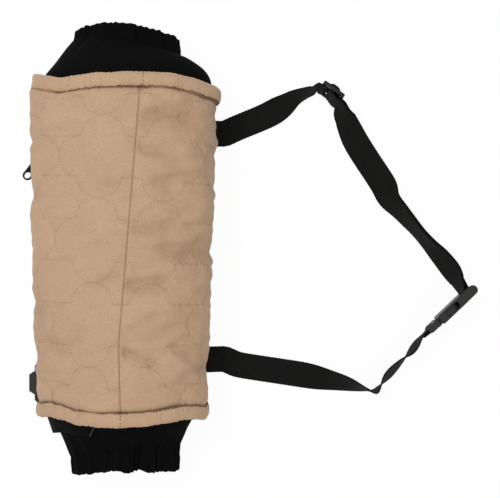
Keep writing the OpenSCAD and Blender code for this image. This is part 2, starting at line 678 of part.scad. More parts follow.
socket_x0 = 4.5;
socket_x1 = socket_x0 + socket_len;
socket_back = 4;
cavity_h = buckle_w - 2 * socket_wall;
cavity_t = buckle_t - 2 * socket_wall;
window_x0 = socket_x0 + 8;
window_x1 = socket_x0 + 24;
plug_arm_r = 3.4;
socket_arm_r = 4.6;
socket_arm_past = 5.4;
bar_room = web_w + 2 * slot_clear;
module in_buckle() translate(buckle_at) rotate([buckle_lean, 0, buckle_heading]) children();
module bar_end(x, from, past, r) {
    arm_h = (buckle_w - bar_room) / 2;
    for (side = [-1, 1])
        translate([0, 0, side > 0 ? bar_room / 2 : -buckle_w / 2])
        linear_extrude(arm_h)
        hull() {
            translate([x + past, 0]) circle(r, $fn = 24);
            translate([from, 0]) square([1, 2 * r], center = true);
        }
    translate([x, 0, -bar_room / 2 - arm_h / 2])
    cylinder(r = bar_r, h = bar_room + arm_h);
}
module buckle_socket() {
    color(black_plastic)
    in_buckle() {
        difference() {
            rounded_block(socket_x0, socket_x1, buckle_w, buckle_t, corner_r, corner_r);
            translate([socket_x0 + socket_back, -cavity_t / 2, -cavity_h / 2])
            cube([socket_len, cavity_t, cavity_h]);
            translate([0, 0, -buckle_w])
            linear_extrude(2 * buckle_w)
            rounded_outline(window_x0, window_x1, cavity_t, cavity_t / 2 - plug_clear);
        }
        bar_end(0, socket_x0 + corner_r, -socket_arm_past, socket_arm_r);
    }
}

// Plug: a base outside the mouth with a guide tongue, and two prongs that bend at their roots
plug_clear = 0.35;
plug_x0 = socket_x1 + plug_clear;
plug_len = 5.8;
plug_x1 = plug_x0 + plug_len;
plug_w = buckle_w - 2;
plug_t = buckle_t - 2;
tongue_h = 7;
tongue_reach = 24;
prong_t = cavity_t - 2 * plug_clear;
prong_root_r = 1.9;
prong_root_x = plug_x0 + 2;
prong_arm = 3.2;
prong_z = cavity_h / 2 - plug_clear - prong_arm;
module prong_root_seat(side)
    translate([prong_root_x, 0, side * (prong_z + prong_arm / 2)])
    rotate([90, 0, 0])
    translate([0, 0, -plug_t])
    cylinder(r = prong_root_r + plug_clear, h = 2 * plug_t);
module buckle_plug() {
    color(black_plastic)
    in_buckle() {
        difference() {
            rounded_block(plug_x0, plug_x1, plug_w, plug_t, corner_r, corner_r);
            for (side = [-1, 1]) {
                prong_root_seat(side);
                translate([plug_x0 - 1, -plug_t, (side - 1) * prong_arm / 2 + side * prong_z - plug_clear])
                cube([prong_root_x - plug_x0 + 1, 2 * plug_t, prong_arm + 2 * plug_clear]);
            }
        }
        translate([plug_x0 - tongue_reach, -prong_t / 2, -tongue_h / 2])
        cube([tongue_reach + 1, prong_t, tongue_h]);
        bar_end(plug_bar_x, plug_x1 - corner_r / 2, 0, plug_arm_r);
    }
}

// Prong: an arm from its round root to a head that fills the window in the socket's side
head_lead = 3.5;
head_play = 1.5;
head_x0 = window_x0 + head_lead;
head_x1 = window_x1 - head_play;
head_top = buckle_w / 2 - 0.4;
module prong(side) {
    color(black_plastic)
    in_buckle()
    mirror([0, 0, side > 0 ? 0 : 1]) {
        rotate([90, 0, 0])
        translate([prong_root_x, prong_z + prong_arm / 2, -prong_t / 2])
        cylinder(r = prong_root_r, h = prong_t);
        translate([head_x0, -prong_t / 2, prong_z])
        cube([prong_root_x - head_x0, prong_t, prong_arm]);
        intersection() {
            rotate([90, 0, 0])
            translate([0, 0, -prong_t / 2])
            linear_extrude(prong_t)
            polygon([[head_x0, prong_z + 1], [head_x1, prong_z + 1], [head_x1, head_top],
                [head_x0 + 3, head_top], [head_x0, cavity_h / 2]]);
            linear_extrude(buckle_w) rounded_outline(head_x0, head_x1, prong_t, prong_t / 2 - plug_clear);
        }
    }
}
module prong_upper() prong(1);
module prong_lower() prong(-1);

// Ladder lock: a flat frame with a round hinge bar, a ladder bar and a thumb lip
ladder_inset = 26;
ladder_y = ladder_inset - half_len;
ladder_hinge_x = -71.5;
ladder_hinge_z = 5.6;
ladder_bar_r = 1.8;
ladder_out_x = ladder_hinge_x - ladder_len;
ladder_rail = (ladder_w - web_w) / 2 - slot_clear;
ladder_step_x = ladder_hinge_x - 7;
ladder_step_w = 2.6;
ladder_front = 3.5;
ladder_chamfer = 2.5;
lip_reach = 5.3;
lip_base = ladder_w - 15;
lip_tip = ladder_w - 22;
module ladder_lock() {
    inner_w = ladder_w - 2 * ladder_rail;
    z0 = ladder_hinge_z - ladder_t / 2;
    color(black_plastic)
    translate([0, ladder_y, 0]) {
        difference() {
            translate([0, 0, z0])
            linear_extrude(ladder_t)
            polygon([[ladder_hinge_x + 2, -ladder_w / 2], [ladder_hinge_x + 2, ladder_w / 2],
                [ladder_out_x + ladder_chamfer, ladder_w / 2], [ladder_out_x, ladder_w / 2 - ladder_chamfer],
                [ladder_out_x, lip_base / 2],
                [ladder_out_x - lip_reach, lip_tip / 2], [ladder_out_x - lip_reach, -lip_tip / 2],
                [ladder_out_x, -lip_base / 2], [ladder_out_x, ladder_chamfer - ladder_w / 2],
                [ladder_out_x + ladder_chamfer, -ladder_w / 2]]);
            translate([ladder_step_x, -inner_w / 2, 0])
            cube([ladder_len, inner_w, 4 * ladder_t]);
            translate([ladder_out_x + ladder_front, -inner_w / 2, 0])
            cube([ladder_step_x - ladder_step_w - ladder_out_x - ladder_front, inner_w, 4 * ladder_t]);
        }
        translate([ladder_hinge_x, 0, ladder_hinge_z])
        rotate([90, 0, 0])
        translate([0, 0, -inner_w / 2 - 1])
        cylinder(r = ladder_bar_r, h = inner_w + 2);
    }
}
tab_sewn_t = [238, 230];
tab_lead = [5, 0.5];
tab_back = 2.4;
module ladder_lock_tab() {
    r = ladder_bar_r + layer_gap + web_t / 2;
    loop = [for (a = [270:-30:90]) [ladder_hinge_x + r * cos(a), ladder_y, ladder_hinge_z + r * sin(a)]];
    sewn = [for (t = tab_sewn_t) section(t, ladder_y, anchor_d)];
    lead = [[ladder_hinge_x + tab_lead[0], ladder_y, ladder_hinge_z - r + tab_lead[1]]];
    back = [[ladder_hinge_x + tab_back, ladder_y, ladder_hinge_z + r]];
    path = [for (p = concat(sewn, lead, loop, back)) [p[0], ladder_y, p[2]]];
    color(black_web)
    ribbon(path, [for (p = path) [0, 1, 0]], web_w, web_t);
}

shell_left_panel();
shell_right_panel();
batting();
lining();
upper_hem();
lower_hem();
upper_cuff();
lower_cuff();
upper_cuff_elastic();
lower_cuff_elastic();
pocket_bag();
zip_tape_left();
zip_tape_right();
zip_teeth_left();
zip_teeth_right();
zip_stops();
zip_slider();
zip_puller();
upper_anchor();
lower_anchor();
long_strap();
strap_return();
short_strap();
tri_glide();
buckle_socket();
buckle_plug();
prong_upper();
prong_lower();
ladder_lock();
ladder_lock_tab();
hem_tape_tab();
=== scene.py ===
"""Hand warmer muff: the looks of the quilted body, fleece cuffs, webbing strap and hardware.

Lengths are metres and angles are radians, unless a name says otherwise.
+Z is up from the flat back, +Y runs along the hand passage and the strap lies on the +X side.
"""

import math

import bmesh
import bpy
import numpy as np
from bpy.props import FloatProperty, FloatVectorProperty, IntProperty, PointerProperty
from bpy.types import Operator, Panel, PropertyGroup
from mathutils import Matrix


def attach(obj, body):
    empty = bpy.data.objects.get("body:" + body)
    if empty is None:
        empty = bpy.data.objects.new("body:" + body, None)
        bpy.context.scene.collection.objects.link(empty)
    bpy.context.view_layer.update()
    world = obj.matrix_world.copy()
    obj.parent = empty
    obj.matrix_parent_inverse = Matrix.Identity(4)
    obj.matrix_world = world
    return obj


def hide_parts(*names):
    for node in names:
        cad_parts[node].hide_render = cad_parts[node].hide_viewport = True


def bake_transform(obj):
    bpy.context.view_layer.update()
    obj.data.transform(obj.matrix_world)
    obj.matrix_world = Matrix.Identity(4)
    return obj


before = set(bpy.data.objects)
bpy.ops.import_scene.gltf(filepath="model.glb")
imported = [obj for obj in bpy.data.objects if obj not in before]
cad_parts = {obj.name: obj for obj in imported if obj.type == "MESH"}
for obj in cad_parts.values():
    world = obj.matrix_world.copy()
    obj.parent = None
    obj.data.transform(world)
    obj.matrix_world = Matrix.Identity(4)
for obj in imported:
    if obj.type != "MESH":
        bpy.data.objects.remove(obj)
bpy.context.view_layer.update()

bl_info = {
    "name": "Hand Warmer Muff",
    "version": (1, 0, 0),
    "blender": (4, 5, 0),
    "location": "3D View > Sidebar > Muff",
    "description": "Quilted muff with gathered cuffs, a zipped pocket and a webbing waist strap",
    "category": "Add Mesh",
}

MM = 0.001
TURN = 2 * math.pi


def length(name, description, default):
    """A size that a user may change, in metres."""
    return FloatProperty(
        name=name, description=description, default=default, min=0, unit="LENGTH", precision=4
    )


def colour(name, description, default):
    """A linear colour that a user may change."""
    return FloatVectorProperty(
        name=name, description=description, default=default, size=3, min=0, max=1, subtype="COLOR"
    )


def share(name, description, default):
    """A plain number that a user may change."""
    return FloatProperty(name=name, description=description, default=default, precision=3)


class MuffBody(PropertyGroup):
    """Sizes of the body, its quilting, hems and cuffs"""

    half_width: length("Half width", "Half width of the padded body at mid length", 82.5 * MM)
    body_length: length("Length", "Length of the body with its hems", 310 * MM)
    mid_z: length("Widest line", "Height of the widest line above the back", 42 * MM)
    crown_rise: length("Crown rise", "Rise of the crown above the widest line", 53 * MM)
    taper: share("Taper", "Growth of the half width towards the upper end", 0.03)
    lean: share("Lean", "Sideways drift of the section towards the upper end", 0.011)
    slant: share("End slant", "Drop of the upper end towards the strap side", 0.075)
    puff: length("Puff height", "Height of the puffs between the quilting lines", 1.4 * MM)
    cell_width: length("Quilt width", "Width of one quilted quatrefoil", 76 * MM)
    cell_height: length("Quilt height", "Height of one quilted quatrefoil", 73.6 * MM)
    hem_width: length("Hem width", "Width of a rolled hem", 13 * MM)
    hem_thick: length("Hem thickness", "Thickness of a rolled hem", 6.5 * MM)
    cuff_length: length("Cuff length", "Length of a cuff beyond its hem", 50 * MM)
    mouth_half_width: length("Mouth half width", "Half width of a cuff's mouth", 50 * MM)
    mouth_half_height: length("Mouth half height", "Half height of a cuff's mouth", 28 * MM)
    pleats: IntProperty(
        name="Pleats", description="Gathers round a cuff's mouth", default=46, min=4, max=80
    )


class MuffWebbing(PropertyGroup):
    """Sizes of the strap's webbing"""

    width: length("Width", "Width of the webbing", 25 * MM)
    thick: length("Thickness", "Thickness of the webbing", 1.6 * MM)


class MuffColours(PropertyGroup):
    """Linear colours of the materials"""

    shell: colour("Shell", "Brushed outer cloth", (0.479, 0.323, 0.209))
    thread: colour("Thread", "Quilting thread", (0.27, 0.17, 0.08))
    # Painted shade: the colour the outer cloth is led to in its creases, fold valleys, seams and
    # quilting lines
    painted_crease_shade: colour("Crease", "Outer cloth deep in its creases", (0.12, 0.038, 0.008))
    seam_thread: colour("Seam thread", "Thread in the hem seams", (0.05, 0.022, 0.01))
    fleece: colour("Fleece", "Cuffs and lining", (0.0036, 0.0035, 0.0034))
    webbing: colour("Webbing", "Strap webbing", (0.0062, 0.0061, 0.0059))
    # Painted highlight: the pale grey that the hem tape is led to along its cut end
    painted_tape_highlight: colour("Tape end", "Melted end of the hem tape", (0.11, 0.11, 0.12))
    plastic: colour("Plastic", "Buckle, adjuster and ladder lock", (0.013, 0.0125, 0.012))
    enamel: colour("Enamel", "Zip slider and puller", (0.009, 0.009, 0.009))
    zip_tape: colour("Zip tape", "Woven tape of the zip", (0.25, 0.17, 0.11))
    zip_teeth: colour("Zip teeth", "Moulded teeth of the zip", (0.05, 0.04, 0.033))
    padding: colour("Padding", "Fibre batting", (0.80, 0.79, 0.77))
    elastic: colour("Elastic", "Woven elastic of the cuffs", (0.70, 0.70, 0.69))
    pocket: colour("Pocket cloth", "Plain cloth of the pocket bag", (0.05, 0.05, 0.05))


class MuffStage(PropertyGroup):
    """Camera, light and floor"""

    camera_x: length("Camera X", "Where the camera stands over the table", 117.8 * MM)
    camera_height: length("Camera height", "Height of the camera above the table", 900 * MM)
    focal_mm: share("Focal length", "Focal length in millimetres on a 36 mm sensor", 66.6)
    sky: share("Sky", "Strength of the even light all round", 0.45)
    key_watts: share("Key light", "Power of the large lamp at the upper left", 11.9)
    floor_colour: colour("Floor", "Pale floor", (0.93, 0.93, 0.93))


def body():
    return bpy.context.scene.muff_body


def webbing():
    return bpy.context.scene.muff_webbing


def colours():
    return bpy.context.scene.muff_colours


# Body section

CROWN_ROUND = 2.2
BACK_ROUND = 3.0
BACK_PRESS = 2 * MM

# Sag of each end of the body along y, against x, both in millimetres
UPPER_SAG = (
    (-90, 1), (-72, -3.5), (-53, -7), (-27, -3.4), (-4, -0.6),
    (22, 1.4), (48, 3.1), (81, 0), (95, 0),
)
LOWER_SAG = (
    (-90, 0), (-80, 2), (-61, 5.5), (-37, 1), (2, -1.3),
    (34, 0.8), (64, 2.2), (78, -1.5), (90, -1.5),
)
# Where each sag sets in and over how much it grows, as parts of the length from the lower end
UPPER_SAG_FROM, UPPER_SAG_OVER = 0.72, 0.22
LOWER_SAG_FROM, LOWER_SAG_OVER = 0.26, 0.2
LOW_SHIFT = 2 * MM
LOW_SHIFT_FROM = 0.3

GIRTH_DEGREES = (-160, 260)
GIRTH_SAMPLES = 4200


def power(c, n):
    """Signed power |c|^(2/n), which squares off an ellipse as n grows past 2."""
    return np.sign(c) * np.abs(c) ** (2 / n)


def section(t, y, d):
    """Point at angle t round the body and y along it, sunk by d.

    Above the widest line the section is a superellipse of exponent 2.2, below it one of exponent 3
    that the table presses flat. It widens and drifts along y, and the upper end is cut at a slant.
    Both ends sag by tables against x, and the lower end shifts towards +X, by smooth steps along y.
    """
    b = body()
    t, y, d = np.broadcast_arrays(t, y, d)
    up = np.sin(t) >= 0
    rise = np.where(up, b.crown_rise, b.mid_z + BACK_PRESS) - d
    n = np.where(up, CROWN_ROUND, BACK_ROUND)
    x = b.lean * y + (b.half_width + b.taper * y - d) * power(np.cos(t), n)
    z = np.maximum(np.maximum(d, 0), b.mid_z + rise * power(np.sin(t), n))
    along = np.clip(y / b.body_length + 0.5, 0, 1)
    upper = ramp(along, UPPER_SAG_FROM, UPPER_SAG_OVER) * table(x, UPPER_SAG)
    lower = step((LOWER_SAG_FROM - along) / LOWER_SAG_OVER) * table(x, LOWER_SAG)
    x = x + LOW_SHIFT * step((LOW_SHIFT_FROM - along) / LOW_SHIFT_FROM)
    return np.stack([x, y - b.slant * x * along + (upper + lower), z], axis=-1)


def table(x, pairs):
    """Smooth curve through pairs in millimetres: cubics with a mean slope at each pair."""
    knots = np.array(pairs) * MM
    slope = np.gradient(knots[:, 1], knots[:, 0])
    i = np.clip(np.searchsorted(knots[:, 0], x) - 1, 0, len(knots) - 2)
    run = knots[i + 1, 0] - knots[i, 0]
    u = np.clip((x - knots[i, 0]) / run, 0, 1)
    start, stop = knots[i, 1], knots[i + 1, 1]
    return (
        start * (1 + 2 * u) * (1 - u) ** 2
        + stop * u**2 * (3 - 2 * u)
        + run * (slope[i] * u * (1 - u) ** 2 - slope[i + 1] * u**2 * (1 - u))
    )


def run_along(points):
    """Length along a polyline, of any dimension, at each of its points."""
    return np.concatenate([[0], np.cumsum(np.linalg.norm(np.diff(points, axis=0), axis=1))])


def girth():
    """Table of arc length s against angle a from the crown, both growing towards +X."""
    a = np.radians(np.linspace(*GIRTH_DEGREES, GIRTH_SAMPLES))
    s = run_along(section(math.pi / 2 - a, 0.0, 0.0))
    return s - np.interp(0, a, s), a


def angle_at(s):
    """Section angle t at arc length s from the crown."""
    table_s, table_a = girth()
    return math.pi / 2 - np.interp(s, table_s, table_a)


def arc_at(t):
    """Arc length from the crown at section angle t, for t from 90 degrees down past the back."""
    table_s, table_a = girth()
    return np.interp(math.pi / 2 - t, table_a, table_s)


RIPPLE_WAVES = 7
RIPPLE_SPREAD = (0.7, 1.4)
CREASE_THIN, CREASE_WIDE = 0.06, 0.3
CREASE_DEPTH, CREASE_UNEVEN, CREASE_DEEPEST = 0.6, 0.5, 1.3
CREASE_SLOWER = 2.7


def ripple(u, v, wave, seed, stretch=1.0):
    """Smooth unevenness: cosines of about one wavelength in seeded directions and phases."""
    rng = np.random.default_rng(seed)
    turns = rng.uniform(0, TURN, RIPPLE_WAVES)
    phases = rng.uniform(0, TURN, RIPPLE_WAVES)
    scales = rng.uniform(*RIPPLE_SPREAD, RIPPLE_WAVES)
    total = 0.0
    for turn, phase, scale in zip(turns, phases, scales):
        k = TURN / (wave * scale)
        total = total + np.cos(k * (u * math.cos(turn) + v * math.sin(turn) * stretch) + phase)
    return total / math.sqrt(RIPPLE_WAVES)


def creases(run, wave, seed, reach):
    """Narrow creases at uneven places of a run, which thin out as reach falls from 1 to 0."""
    line = np.abs(ripple(run, 0, wave, seed)) / (CREASE_THIN + CREASE_WIDE * reach)
    depth = CREASE_DEPTH + CREASE_UNEVEN * ripple(run, 0, CREASE_SLOWER * wave, seed + 1)
    return reach * np.clip(1 - line, 0, 1) * np.clip(depth, 0, CREASE_DEEPEST)


def hump(v, width):
    """Bell curve of that half width, 1 at the middle."""
    return np.exp(-((v / width) ** 2))


def step(v):
    """Smooth step from 0 to 1 over the unit interval."""
    c = np.clip(v, 0, 1)
    return c * c * (3 - 2 * c)


def ramp(v, start, over):
    """Smooth step from 0 at start to 1 that much further on."""
    return step((v - start) / over)


def around(count):
    """That many even angles round a full turn."""
    return TURN * np.arange(count) / count


# Quilting: quatrefoils that touch, on a slightly sheared lattice for each panel

QUILT_Y0 = 7 * MM
# Middle of a cell round the body, and drift of the cells along y
LEFT_LATTICE = (-17.5 * MM, 0.06)
RIGHT_LATTICE = (37 * MM, 0.095)
PUFF_REACH = 14 * MM


def in_cell(v, pitch):
    """Distance from the middle of a cell as a part of its half pitch."""
    return np.abs(v - pitch * np.round(v / pitch)) / (pitch / 2)


def quilt_distance(s, y):
    """Distance to the nearest quilting line.

    A quatrefoil is four half circles on the sides of a square half as wide as its cell. Straight
    links join the corners of neighbours. The cell is folded to its first quadrant, 0 to 1 each way.
    """
    right = s > seam_arc(y)
    middle = np.where(right, RIGHT_LATTICE[0], LEFT_LATTICE[0])
    drift = np.where(right, RIGHT_LATTICE[1], LEFT_LATTICE[1])
    a = in_cell(s - middle - drift * (y - QUILT_Y0), body().cell_width)
    b = in_cell(y - QUILT_Y0, body().cell_height)
    corner = np.hypot(a - 0.5, b - 0.5)
    side = np.where(a < 0.5, corner, np.abs(np.hypot(a - 0.5, b) - 0.5))
    top = np.where(b < 0.5, corner, np.abs(np.hypot(a, b - 0.5) - 0.5))
    link = np.where(a < 0.5, corner, np.abs(b - 0.5))
    return body().cell_height / 2 * np.minimum(np.minimum(side, top), link)


# Front seam, zip and hems on the cloth

SEAM_LOW_X = 3 * MM
SEAM_RUN_X = 19 * MM
SEAM_START_Y = -88 * MM
SEAM_RUN_Y = 230 * MM
SEAM_GAP = 0.03 * MM
ZIP_T = math.radians(212)
ZIP_HALF = math.radians(10.5)
ZIP_MID_Y = 12 * MM
ZIP_LENGTH = 184 * MM
ZIP_TAPER = 4 * MM
ZIP_SHUT = 0.01
ZIP_DEPTH = 0.6 * MM
ZIP_TILT = math.radians(224)
SEWN_GAP = 0.3 * MM
# Creases along each hem seam: wavelength and seed
UPPER_CREASES = (8 * MM, 31)
LOWER_CREASES = (9 * MM, 37)


def seam_arc(y):
    """Arc length of the front seam, which wanders from the crown towards +X as it rises."""
    b = body()
    x = SEAM_LOW_X + SEAM_RUN_X * np.clip((y - SEAM_START_Y) / SEAM_RUN_Y, 0, 1)
    cosine = (np.maximum(x - b.lean * y, 0) / (b.half_width + b.taper * y)) ** (CROWN_ROUND / 2)
    return arc_at(np.arccos(cosine))


def zip_half_angle(y):
    """Half opening of the shell over the zip, which closes just past the zip's ends."""
    inside = np.minimum(y - (ZIP_MID_Y - ZIP_LENGTH / 2), ZIP_MID_Y + ZIP_LENGTH / 2 - y)
    return ZIP_HALF * np.clip(inside / ZIP_TAPER + 1, ZIP_SHUT, 1)


def shell_end():
    """How far the outer cloth shows along y, to the hem seams."""
    b = body()
    return b.body_length / 2 - b.hem_width - SEWN_GAP


def hem_creases(s, y, reach):
    """Creases across a hem seam, the same on both of its sides."""
    upper, lower = (creases(s, *kind, reach) for kind in (UPPER_CREASES, LOWER_CREASES))
    return np.where(y > 0, upper, lower)


# Drag folds in millimetres: start past the seam, y there, run (minus to the left), half width,
# depth, rise per run and bend
DRAG_FOLDS = (
    (1, 113, 72, 7.5, 3.4, -0.03, 6),
    (1, 90, 46, 6.5, 3.0, -0.20, 0),
    (10, 63, 34, 9.0, 3.0, -0.15, 0),
    (1, 19, 50, 7.0, 3.4, 0.14, -3),
    (9, 1, 80, 8.5, 3.6, 0.0, -3),
    (0, -32, 48, 7.0, 3.4, 0.16, -2),
    (32, -66, 36, 8.0, 1.9, 0.20, 0),
    (1, -88, 46, 5.0, 3.4, -0.42, 0),
    (42, -84, 36, 6.0, 2.9, -0.40, 0),
    (-1, -24, -30, 5.0, 2.0, -0.20, 0),
    (-16, 6, -36, 7.0, 1.3, -0.35, 0),
    (-26, -68, -34, 8.0, 1.6, -0.60, 0),
    (-40, -98, -46, 8.0, 2.2, 0.45, 0),
    (-66, -62, -42, 9.0, 2.0, 0.10, 0),
)
# A fold widens from start to end, sets in at once where it starts at the seam, and fades out
FOLD_WIDTH, FOLD_SPREAD = 0.8, 0.5
FOLD_AT_SEAM = 2
FOLD_SUDDEN, FOLD_LEAD, FOLD_GENTLE, FOLD_FADE = 6, 0.2, 2.5, 2.2
# Painted shade in the valleys of the drag folds and the pinches, per metre of their depth
PAINTED_FOLD_SHADE = 48
# Pinches of the outline in millimetres: y and depth at the left and at the right edge
LEFT_PINCHES = ((94, 3.2), (45, 4.2), (-50, 3.0), (-97, 3.6))
RIGHT_PINCHES = ((130, 3.0), (116, 1.8), (94, 3.8), (63, 2.4), (0, 4.2), (-108, 3.4))
EDGE_ARC = 112 * MM
PINCH_TIP, PINCH_FLANK, PINCH_REACH = 1.5 * MM, 8 * MM, 32 * MM


def drag_folds(past_seam, y):
    """Sum of shallow valleys, each a bell across its line and faded at both of its ends."""
    total = 0.0
    for start, level, run, half, depth, rise, bend in DRAG_FOLDS:
        u = (past_seam / MM - start) / run
        line = level + rise * u * abs(run) + bend * np.sin(math.pi * np.clip(u, 0, 1))
        across = (y / MM - line) / (half * (FOLD_WIDTH + FOLD_SPREAD * np.clip(u, 0, 1)))
        at_seam = abs(start) < FOLD_AT_SEAM
        begin = step(u * FOLD_SUDDEN + FOLD_LEAD if at_seam else u * FOLD_GENTLE)
        total = total - depth * MM * begin * step((1 - u) * FOLD_FADE) * hump(across, 1.0)
    return total


def pinches(s, y):
    """Dents in the outline: cusps with wide flanks along y, bells round the widest line."""
    total = 0.0
    for marks, middle in ((LEFT_PINCHES, -EDGE_ARC), (RIGHT_PINCHES, EDGE_ARC)):
        for level, depth in marks:
            cusp = np.exp((PINCH_TIP - np.hypot(y - level * MM, PINCH_TIP)) / PINCH_FLANK)
            total = total - depth * MM * cusp * hump(s - middle, PINCH_REACH)
    return total


# Forms of the outer cloth. Ripples: height, wavelength, seed, stretch. Dips: depth, half width
PUFF_POWER = 1.3
STITCH_SINK, STITCH_REACH = 0.2 * MM, 0.9 * MM
PUCKERS, PUCKER_REACH = (0.22 * MM, 6 * MM, 11), 4.5 * MM
SLOW_SLACK, QUICK_SLACK = (0.8 * MM, 46 * MM, 5), (0.35 * MM, 19 * MM, 8, 1.5)
SIDE_SLACK, SIDE_SLACK_FROM = (0.5 * MM, 24 * MM, 13, 1.8), 6 * MM
SEAM_DIPS = ((0.25 * MM, 0.8 * MM), (0.6 * MM, 7 * MM))
HEM_DIPS = ((1.5 * MM, 2.2 * MM), (0.8 * MM, 7 * MM))
HEM_CREASE, HEM_CREASE_REACH = 1.0 * MM, 6 * MM
FADE_FROM, FADE_OVER = 3 * MM, 14 * MM


def waves(u, v, kind, side=0):
    """Ripple of one kind: height, wavelength, seed (which may differ by the end) and stretch."""
    height, wave, seed, *stretch = kind
    return height * ripple(u, v, wave, seed + side, *stretch)


def dips(distance, kinds):
    """Sum of valleys of some depths and half widths, at a distance from their line."""
    return -sum(depth * hump(distance, width) for depth, width in kinds)


def shell_height(s, y, z):
    """Height of the outer cloth over the plain section.

    Puffs rise away from the quilting lines; puckers ripple beside the stitches; the cloth dips into
    the front seam and the hem seams; drag folds, pinches and slow slack add unevenness. All of it
    fades out on the back.
    """
    gap = quilt_distance(s, y)
    puff = body().puff * (1 - np.exp(-((gap / PUFF_REACH) ** PUFF_POWER)))
    puff = puff - STITCH_SINK * np.exp(-gap / STITCH_REACH)
    puckers = waves(s, y, PUCKERS) * np.exp(-gap / PUCKER_REACH)
    past = s - seam_arc(y)
    slack = waves(s, y, SLOW_SLACK) + waves(s, y, QUICK_SLACK)
    slack = slack + waves(s, y, SIDE_SLACK) * (0.5 + 0.5 * step(past / SIDE_SLACK_FROM))
    edge = np.maximum(shell_end() - np.abs(y), 0)
    hem = dips(edge, HEM_DIPS) - HEM_CREASE * hem_creases(s, y, np.exp(-edge / HEM_CREASE_REACH))
    folds = drag_folds(past, y)
    fade = np.clip((z - FADE_FROM) / FADE_OVER, 0, 1)
    return fade * (puff + puckers + slack + dips(past, SEAM_DIPS) + hem + folds + pinches(s, y))


def shell_point(s, y):
    """Point of the outer cloth at arc length s and length y."""
    t = angle_at(s)
    return section(t, y, -shell_height(s, y, section(t, y, 0.0)[..., 2]))


# Meshes from grids

WELD_WITHIN = 1e-7
SHORTEST = 1e-12


def add_mesh(name, points, faces, material, uv=None, values=None, weld=False):
    """Object from points (n, 3), quads (m, 4), corner UVs (m, 4, 2) and named point values."""
    mesh = bpy.data.meshes.new(name)
    mesh.vertices.add(len(points))
    mesh.vertices.foreach_set("co", np.asarray(points, np.float32).ravel())
    mesh.loops.add(faces.size)
    mesh.loops.foreach_set("vertex_index", faces.astype(np.int32).ravel())
    mesh.polygons.add(len(faces))
    starts = np.arange(0, faces.size, faces.shape[1], dtype=np.int32)
    mesh.polygons.foreach_set("loop_start", starts)
    mesh.polygons.foreach_set("use_smooth", np.ones(len(faces), bool))
    mesh.update(calc_edges=True)
    if uv is not None:
        layer = mesh.uv_layers.new(name="UVMap")
        layer.data.foreach_set("uv", np.asarray(uv, np.float32).ravel())
    for key, data in (values or {}).items():
        attribute = mesh.attributes.new(key, "FLOAT", "POINT")
        attribute.data.foreach_set("value", np.asarray(data, np.float32).ravel())
    if weld:
        bm = bmesh.new()
        bm.from_mesh(mesh)
        bmesh.ops.remove_doubles(bm, verts=bm.verts, dist=WELD_WITHIN)
        bmesh.ops.recalc_face_normals(bm, faces=bm.faces)
        bm.to_mesh(mesh)
        bm.free()
    mesh.validate()
    mesh.materials.append(material)
    piece = bpy.data.objects.new(name, mesh)
    bpy.context.scene.collection.objects.link(piece)
    return piece


def grid_faces(rows, cols, close_rows=False, close_cols=False):
    """Quads between neighbours of a grid, and each corner's row and column before wrapping."""
    last_row, last_col = rows - (not close_rows), cols - (not close_cols)
    i, j = np.meshgrid(np.arange(last_row), np.arange(last_col), indexing="ij")
    ci = np.stack([i, i, i + 1, i + 1], axis=-1).reshape(-1, 4)
    cj = np.stack([j, j + 1, j + 1, j], axis=-1).reshape(-1, 4)
    return (ci % rows) * cols + cj % cols, ci, cj


def add_grid(name, grid, material, close_rows=False, close_cols=False, uv=None, **more):
    """Object from a grid of points (rows, cols, 3), closed along either way where asked."""
    faces, ci, cj = grid_faces(*grid.shape[:2], close_rows, close_cols)
    corner_uv = None if uv is None else uv[ci, cj]
    return add_mesh(name, grid.reshape(-1, 3), faces, material, corner_uv, **more)


def thicken(piece, thickness):
    """Turn a sheet into a wall that grows inwards from it."""
    piece.modifiers.new("wall", "SOLIDIFY").thickness = thickness


def unit(v):
    """Vectors of length 1, along the last axis."""
    return v / np.maximum(np.linalg.norm(v, axis=-1, keepdims=True), SHORTEST)


def seat(piece, riding_body, slot_name, *nodes):
    """The piece rides on a body and stands for CAD nodes, which are hidden. slot_name is not used.
    """
    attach(piece, riding_body)
    if nodes:
        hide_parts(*nodes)
    return piece


# Stitches

STITCH_PITCH = 2.7 * MM
STITCH_RINGS, STITCH_SIDES = 6, 5
STITCH_THIN, STITCH_DIVE = 0.9, 0.9
FRAME_STEP = 0.4 * MM
# Length and radius of a stitch
QUILT_STITCH, SEAM_STITCH = (1.2 * MM, 0.3 * MM), (1.5 * MM, 0.5 * MM)


def add_stitches(name, middles, along, out, size, material):
    """Thread segments: short tubes that arch out of the cloth and dive back in at their ends."""
    stitch_length, radius = size
    u = np.linspace(-1, 1, STITCH_RINGS)
    q = around(STITCH_SIDES)
    reach = np.repeat(u * stitch_length / 2, STITCH_SIDES)
    swell = np.sqrt(1 - STITCH_THIN * u**2)
    side = radius * np.outer(swell, np.cos(q)).ravel()
    lift = radius * (np.outer(swell, np.sin(q)) + (1 - u**2)[:, None] - STITCH_DIVE).ravel()
    along = unit(along)
    across = unit(np.cross(out, along))
    out = unit(np.cross(along, across))
    points = (
        middles[:, None]
        + along[:, None] * reach[None, :, None]
        + across[:, None] * side[None, :, None]
        + out[:, None] * lift[None, :, None]
    )
    faces, _, _ = grid_faces(STITCH_RINGS, STITCH_SIDES, close_cols=True)
    offsets = STITCH_RINGS * STITCH_SIDES * np.arange(len(middles))
    all_faces = (faces[None] + offsets[:, None, None]).reshape(-1, 4)
    return add_mesh(name, points.reshape(-1, 3), all_faces, material)


def rows_at(rows, run, at):
    """Rows at some places along the run of a path."""
    return np.stack([np.interp(at, run, column) for column in rows.T], axis=1)


def spaced(line, pitch):
    """Points a pitch apart along a polyline."""
    run = run_along(line)
    return rows_at(line, run, np.arange(pitch / 2, run[-1], pitch))


